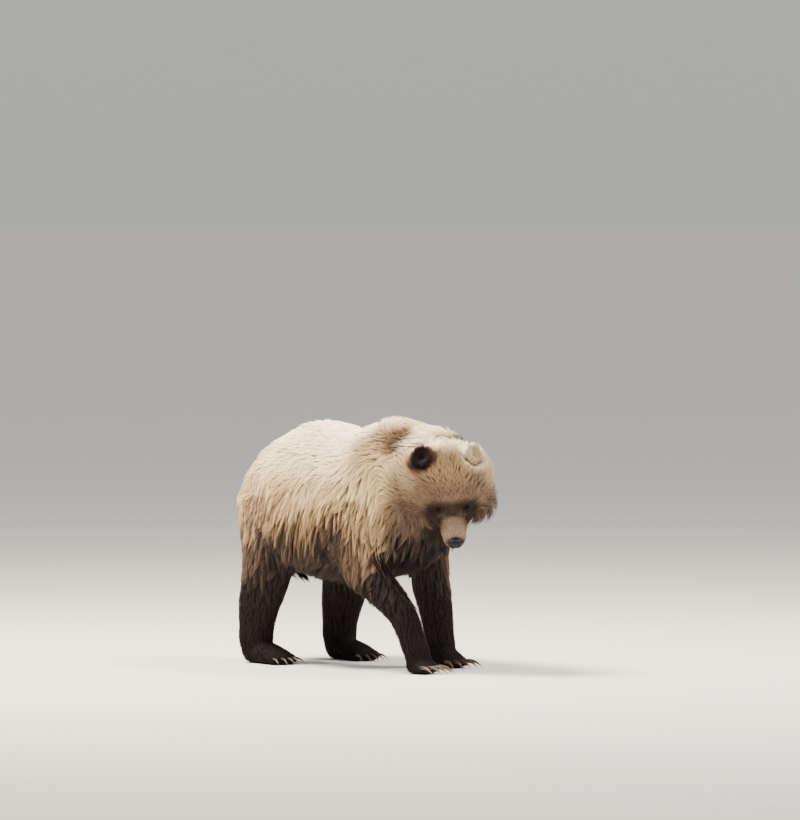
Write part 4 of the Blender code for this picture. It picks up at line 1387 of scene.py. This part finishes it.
def opening(turn):
    """Angle from the ball's outward line to the lids' edge: an almond, taller above than below."""
    tall = OPENING_ABOVE if math.sin(turn) > 0 else OPENING_BELOW
    sideways, upwards = abs(math.cos(turn) / OPENING_HALF_WIDTH), abs(math.sin(turn) / tall)
    return (sideways**ALMOND + upwards**ALMOND) ** (-1 / ALMOND)


def lid_section(eye, out, flat, turn):
    """The closed outline of the lid at one place round the eye, where flat points away from the middle."""
    edge = opening(turn)

    def on_ball(angle, radius):
        return eye + (out * math.cos(angle) + flat * math.sin(angle)) * radius

    def on_skin(reach, sink):
        start = eye + flat * reach + out * 0.05
        hit = skin_tree.ray_cast(start, -out, 0.09)[0]
        return (hit if hit is not None else eye + flat * reach) - out * sink

    swell = LID_SWELL + UPPER_SWELL * max(0.0, math.sin(turn))
    inner_edge = [on_ball(edge, EYE_RADIUS - 0.8 * MM), on_ball(edge, EYE_RADIUS + 0.5 * MM)]
    over_ball = [
        on_ball(edge + math.radians(3), EYE_RADIUS + swell * 0.85),
        on_ball(edge + math.radians(9), EYE_RADIUS + swell),
        on_ball(edge + math.radians(17), EYE_RADIUS + swell * 0.8),
    ]
    under_fur = [on_skin(13.5 * MM, -0.3 * MM), on_skin(16.5 * MM, 1.2 * MM)]
    behind = [on_skin(15 * MM, 5.0 * MM), on_ball(edge + math.radians(14), EYE_RADIUS - 3.0 * MM)]
    return inner_edge + over_ball + under_fur + behind


def lid_ring(side):
    """The closed ring of bare skin round one eye."""
    eye, out = EYES[side], OUTWARD[side]
    inner, across = frame_round(out, head_direction(1, 0, -0.25))
    if across.dot(head_direction(0, 0, 1)) < 0:
        across = -across
    points = []
    for column in range(LID_COLUMNS):
        turn = 2 * math.pi * column / LID_COLUMNS
        points += lid_section(eye, out, inner * math.cos(turn) + across * math.sin(turn), turn)
    rows = len(points) // LID_COLUMNS
    i, j = np.meshgrid(np.arange(LID_COLUMNS), np.arange(rows), indexing="ij")
    i_next, j_next = (i + 1) % LID_COLUMNS, (j + 1) % rows
    quads = np.stack([i * rows + j, i_next * rows + j, i_next * rows + j_next, i * rows + j_next], axis=-1)
    return new_mesh("lids_" + side, np.array([tuple(p) for p in points]), [quads.reshape(-1, 4)])


def leather_material(name, code, roughness, gloss, pebble, depth):
    # Bare black skin: fine pebbles with creases between them, faintly moist.
    made, tree, shader = new_material(name, Roughness=roughness, Specular_IOR_Level=gloss)
    shader.inputs["Base Color"].default_value = (*linear(code), 1)
    place = add_node(tree, "ShaderNodeTexCoord")
    links = {"Vector": place.outputs["Object"]}
    cells = add_node(tree, "ShaderNodeTexVoronoi", links, feature="SMOOTH_F1", Scale=1 / pebble)
    links = {"Height": cells.outputs["Distance"]}
    bump = add_node(tree, "ShaderNodeBump", links, Strength=0.6, Distance=depth)
    bump.invert = True
    tree.links.new(bump.outputs["Normal"], shader.inputs["Normal"])
    return made


lid_leather = leather_material("lid_leather", "#0b0909", 0.6, 0.06, 1.2 * MM, 0.25 * MM)
for side in EYES:
    add_piece(lid_ring(side), lid_leather, "nose_leather")

# %% [markdown]
# ## The nose
# The nose pad is broad and black, with two comma-shaped nostrils that curl outwards and a cleft below them.
# It starts as a rounded ball of about its solid's size, and the openings are pressed into its front.

# %% The nose pad
NOSE_RADII = (0.018, 0.028, 0.022)
NOSE_ROWS, NOSE_COLUMNS = 72, 120
SQUARENESS = 0.86  # under 1 the ball bulges towards a block


def pressed(spots, start, end, reach):
    """How strongly each (left, up) spot feels a dent along the line from start to end."""
    start, end = np.array(start), np.array(end)
    along = np.clip(((spots - start) @ (end - start)) / ((end - start) @ (end - start)), 0, 1)
    away = np.linalg.norm(spots - start - along[:, None] * (end - start), axis=1)
    return np.exp(-((away / reach) ** 2))


def nose_dents(points):
    """How far back each point of the ball's front is pressed: nostrils, cleft and, forwards, the wings."""
    spots = np.abs(points[:, 1:]) * (1, 0) + points[:, 1:] * (0, 1)
    holes = pressed(spots, (0.0105, -0.001), (0.0125, 0.001), 3.9 * MM) * 9 * MM
    curls = pressed(spots, (0.0125, 0.0015), (0.0215, 0.0045), 2.0 * MM) * 5 * MM
    cleft = pressed(spots, (0.0, -0.004), (0.0, -0.022), 1.4 * MM) * 2.2 * MM
    wings = pressed(spots, (0.017, -0.004), (0.020, -0.002), 4.0 * MM) * 1.4 * MM
    return (np.maximum(holes, curls) + cleft - wings) * ramp(points[:, 0], 0.0, 0.006)


def nose_pad():
    """The pad, set on the head."""
    tilt, turn = ball_angles(NOSE_ROWS, NOSE_COLUMNS)
    side, up = np.cos(turn)[None] * np.sin(tilt)[:, None], np.sin(turn)[None] * np.sin(tilt)[:, None]
    front = np.cos(tilt)[:, None] * np.ones(NOSE_COLUMNS)
    balls = np.stack([front, side, up], axis=-1).reshape(-1, 3)
    balls = np.concatenate([balls, [[1.0, 0, 0], [-1.0, 0, 0]]])
    points = np.sign(balls) * np.abs(balls) ** SQUARENESS * np.array(NOSE_RADII)
    points[:, 0] -= nose_dents(points)
    placed = np.array(HEAD)[:3, :3] @ (points + np.array(NOSE_PLACE)).T + np.array(HEAD)[:3, 3:]
    return new_mesh("nose_pad", placed.T, ball_faces(NOSE_ROWS - 1, NOSE_COLUMNS))


# The nose's blue cast is a painted reflection: the sheen of wet leather painted into its black.
nose_leather = leather_material("nose_leather", "#191824", 0.42, 0.14, 1.5 * MM, 0.35 * MM)
add_piece(nose_pad(), nose_leather, "nose_leather", "nose")

# %% [markdown]
# ## The claws
# Twenty claws are one shape repeated, which is what Geometry Nodes are for. One claw is a curved line swept
# with a round section that narrows to the tip; it is set on a point at each claw's root, turned along its
# solid and scaled to its length. The roots and directions are read from the solids.

# %% Where the claws sit
CLAWS = sorted(name for name in frame["nodes"] if name.startswith("claw_"))
ROOT_SLICE = 6 * MM  # the root is the middle of a solid's last few millimetres


def claw_ends(name):
    """Root and tip of a claw's solid, along its long axis. All claws point forwards."""
    table = points_of(frame["nodes"][name].data)
    centred = table - table.mean(axis=0)
    axis = np.linalg.svd(centred, full_matrices=False)[2][0]
    along = centred @ axis
    if axis[0] < 0:
        along = -along
    root = table[along < along.min() + ROOT_SLICE].mean(axis=0)
    return root, table[np.argmax(along)]


def claw_points():
    """One point at each claw's root, with its turn and size."""
    ends = [claw_ends(name) for name in CLAWS]
    mesh = bpy.data.meshes.new("claw_roots")
    mesh.from_pydata([tuple(root) for root, _ in ends], [], [])
    mesh.attributes.new("turn", "FLOAT_VECTOR", "POINT")
    mesh.attributes.new("size", "FLOAT", "POINT")
    for number, (root, tip) in enumerate(ends):
        chord = Vector(tip - root)
        turn = (0.0, -math.asin(chord.z / chord.length), math.atan2(chord.y, chord.x))
        mesh.attributes["turn"].data[number].vector = turn
        mesh.attributes["size"].data[number].value = chord.length
    return shown("claw_roots", mesh)


claw_roots = claw_points()
claw_sizes = [entry.value for entry in claw_roots.data.attributes["size"].data]
print(len(CLAWS), "claws,", round(min(claw_sizes) / MM), "to", round(max(claw_sizes) / MM), "mm long")

# %% [markdown]
# ## The claw's nodes
# The node group draws one claw along the x axis, one unit long. The line arches, and a named value along it
# tells the horn's material where it is between root and tip. The ring that is swept is a little narrower than
# tall. Each point then gets one claw, and the claws are made into real faces with the horn on them.

# %% The claw node group
RING_WIDTH = 0.78
NARROWING = 1.7  # the higher, the longer the claw keeps its thickness


def claw_group(material):
    """The node group that sets claws on points."""
    tree = bpy.data.node_groups.new("claws_on_points", "GeometryNodeTree")
    face = tree.interface
    face.new_socket("Roots", in_out="INPUT", socket_type="NodeSocketGeometry")
    face.new_socket("Arch", in_out="INPUT", socket_type="NodeSocketFloat")
    face.new_socket("Thickness", in_out="INPUT", socket_type="NodeSocketFloat")
    face.new_socket("Claws", in_out="OUTPUT", socket_type="NodeSocketGeometry")
    given = add_node(tree, "NodeGroupInput")
    middle_point = add_node(tree, "ShaderNodeCombineXYZ", {"Z": given.outputs["Arch"]}, X=0.48)
    links = {"Middle": middle_point.outputs[0]}
    line = add_node(tree, "GeometryNodeCurveQuadraticBezier", links, Resolution=12)
    line.inputs["Start"].default_value = (0, 0, 0)
    line.inputs["End"].default_value = (1, 0, 0)
    spline = add_node(tree, "GeometryNodeSplineParameter")
    links = {"Geometry": line.outputs[0], "Value": spline.outputs["Factor"]}
    kind = {"data_type": "FLOAT", "domain": "POINT"}
    stored = add_node(tree, "GeometryNodeStoreNamedAttribute", links, Name="along", **kind)
    powered = add_node(tree, "ShaderNodeMath", {0: spline.outputs["Factor"]}, operation="POWER")
    powered.inputs[1].default_value = NARROWING
    narrowing = add_node(tree, "ShaderNodeMath", {1: powered.outputs[0]}, operation="SUBTRACT")
    narrowing.inputs[0].default_value = 1.04
    links = {0: narrowing.outputs[0], 1: given.outputs["Thickness"]}
    radius = add_node(tree, "ShaderNodeMath", links, operation="MULTIPLY")
    ring = add_node(tree, "GeometryNodeCurvePrimitiveCircle", Resolution=12, Radius=1.0)
    slim = add_node(tree, "GeometryNodeTransform", {"Geometry": ring.outputs["Curve"]})
    slim.inputs["Scale"].default_value = (RING_WIDTH, 1.0, 1.0)
    links = {"Curve": stored.outputs[0], "Profile Curve": slim.outputs[0], "Scale": radius.outputs[0]}
    swept = add_node(tree, "GeometryNodeCurveToMesh", links, Fill_Caps=True)
    turn = add_node(tree, "GeometryNodeInputNamedAttribute", data_type="FLOAT_VECTOR", Name="turn")
    size = add_node(tree, "GeometryNodeInputNamedAttribute", data_type="FLOAT", Name="size")
    rotation = add_node(tree, "FunctionNodeEulerToRotation", {"Euler": turn.outputs["Attribute"]})
    links = {"Points": given.outputs["Roots"], "Instance": swept.outputs[0]}
    links |= {"Rotation": rotation.outputs[0], "Scale": size.outputs["Attribute"]}
    placed = add_node(tree, "GeometryNodeInstanceOnPoints", links)
    real = add_node(tree, "GeometryNodeRealizeInstances", {"Geometry": placed.outputs[0]})
    painted = add_node(tree, "GeometryNodeSetMaterial", {"Geometry": real.outputs[0]}, Material=material)
    add_node(tree, "NodeGroupOutput", {"Claws": painted.outputs[0]})
    return tree


def claw_material():
    # Claw horn: dark brown at the root and paler, worn and faintly streaked towards the tip.
    made, tree, shader = new_material("claw_horn", Roughness=0.38, Specular_IOR_Level=0.5)
    along = add_node(tree, "ShaderNodeAttribute", attribute_name="along")
    place = add_node(tree, "ShaderNodeTexCoord")
    grain = add_node(tree, "ShaderNodeTexNoise", {"Vector": place.outputs["Object"]}, Scale=300.0, Detail=3.0)
    shift = add_node(tree, "ShaderNodeMath", {0: grain.outputs["Fac"], 2: along.outputs["Fac"]})
    shift.operation = "MULTIPLY_ADD"
    shift.inputs[1].default_value = 0.22
    ramp_node = add_node(tree, "ShaderNodeValToRGB", {"Fac": shift.outputs[0]})
    ramp_node.color_ramp.elements[0].position = 0.30
    ramp_node.color_ramp.elements[0].color = (*linear("#1f1814"), 1)
    ramp_node.color_ramp.elements[1].position = 1.0
    ramp_node.color_ramp.elements[1].color = (*linear("#6f5a41"), 1)
    tree.links.new(ramp_node.outputs["Color"], shader.inputs["Base Color"])
    return made


horn = claw_material()
claw_tree = claw_group(horn)
print("claw node group:", len(claw_tree.nodes), "nodes")

# %% [markdown]
# ## Setting the claws
# The group is set to the arch and the thickness of a bear's long digging claws, both as shares of the length.
# Its result is kept as a plain mesh, which stands for all the claw solids.

# %% Making the claws
CLAW_SETTINGS = {"Arch": 0.30, "Thickness": 0.085}
maker = claw_roots.modifiers.new("claws", "NODES")
maker.node_group = claw_tree
for item in claw_tree.interface.items_tree:
    if item.name in CLAW_SETTINGS:
        maker[item.identifier] = CLAW_SETTINGS[item.name]
graph = bpy.context.evaluated_depsgraph_get()
claws = shown("claws", bpy.data.meshes.new_from_object(claw_roots.evaluated_get(graph)))
bpy.data.objects.remove(claw_roots)
claws.data.materials.clear()
add_piece(claws, horn, "claw_horn", *CLAWS)
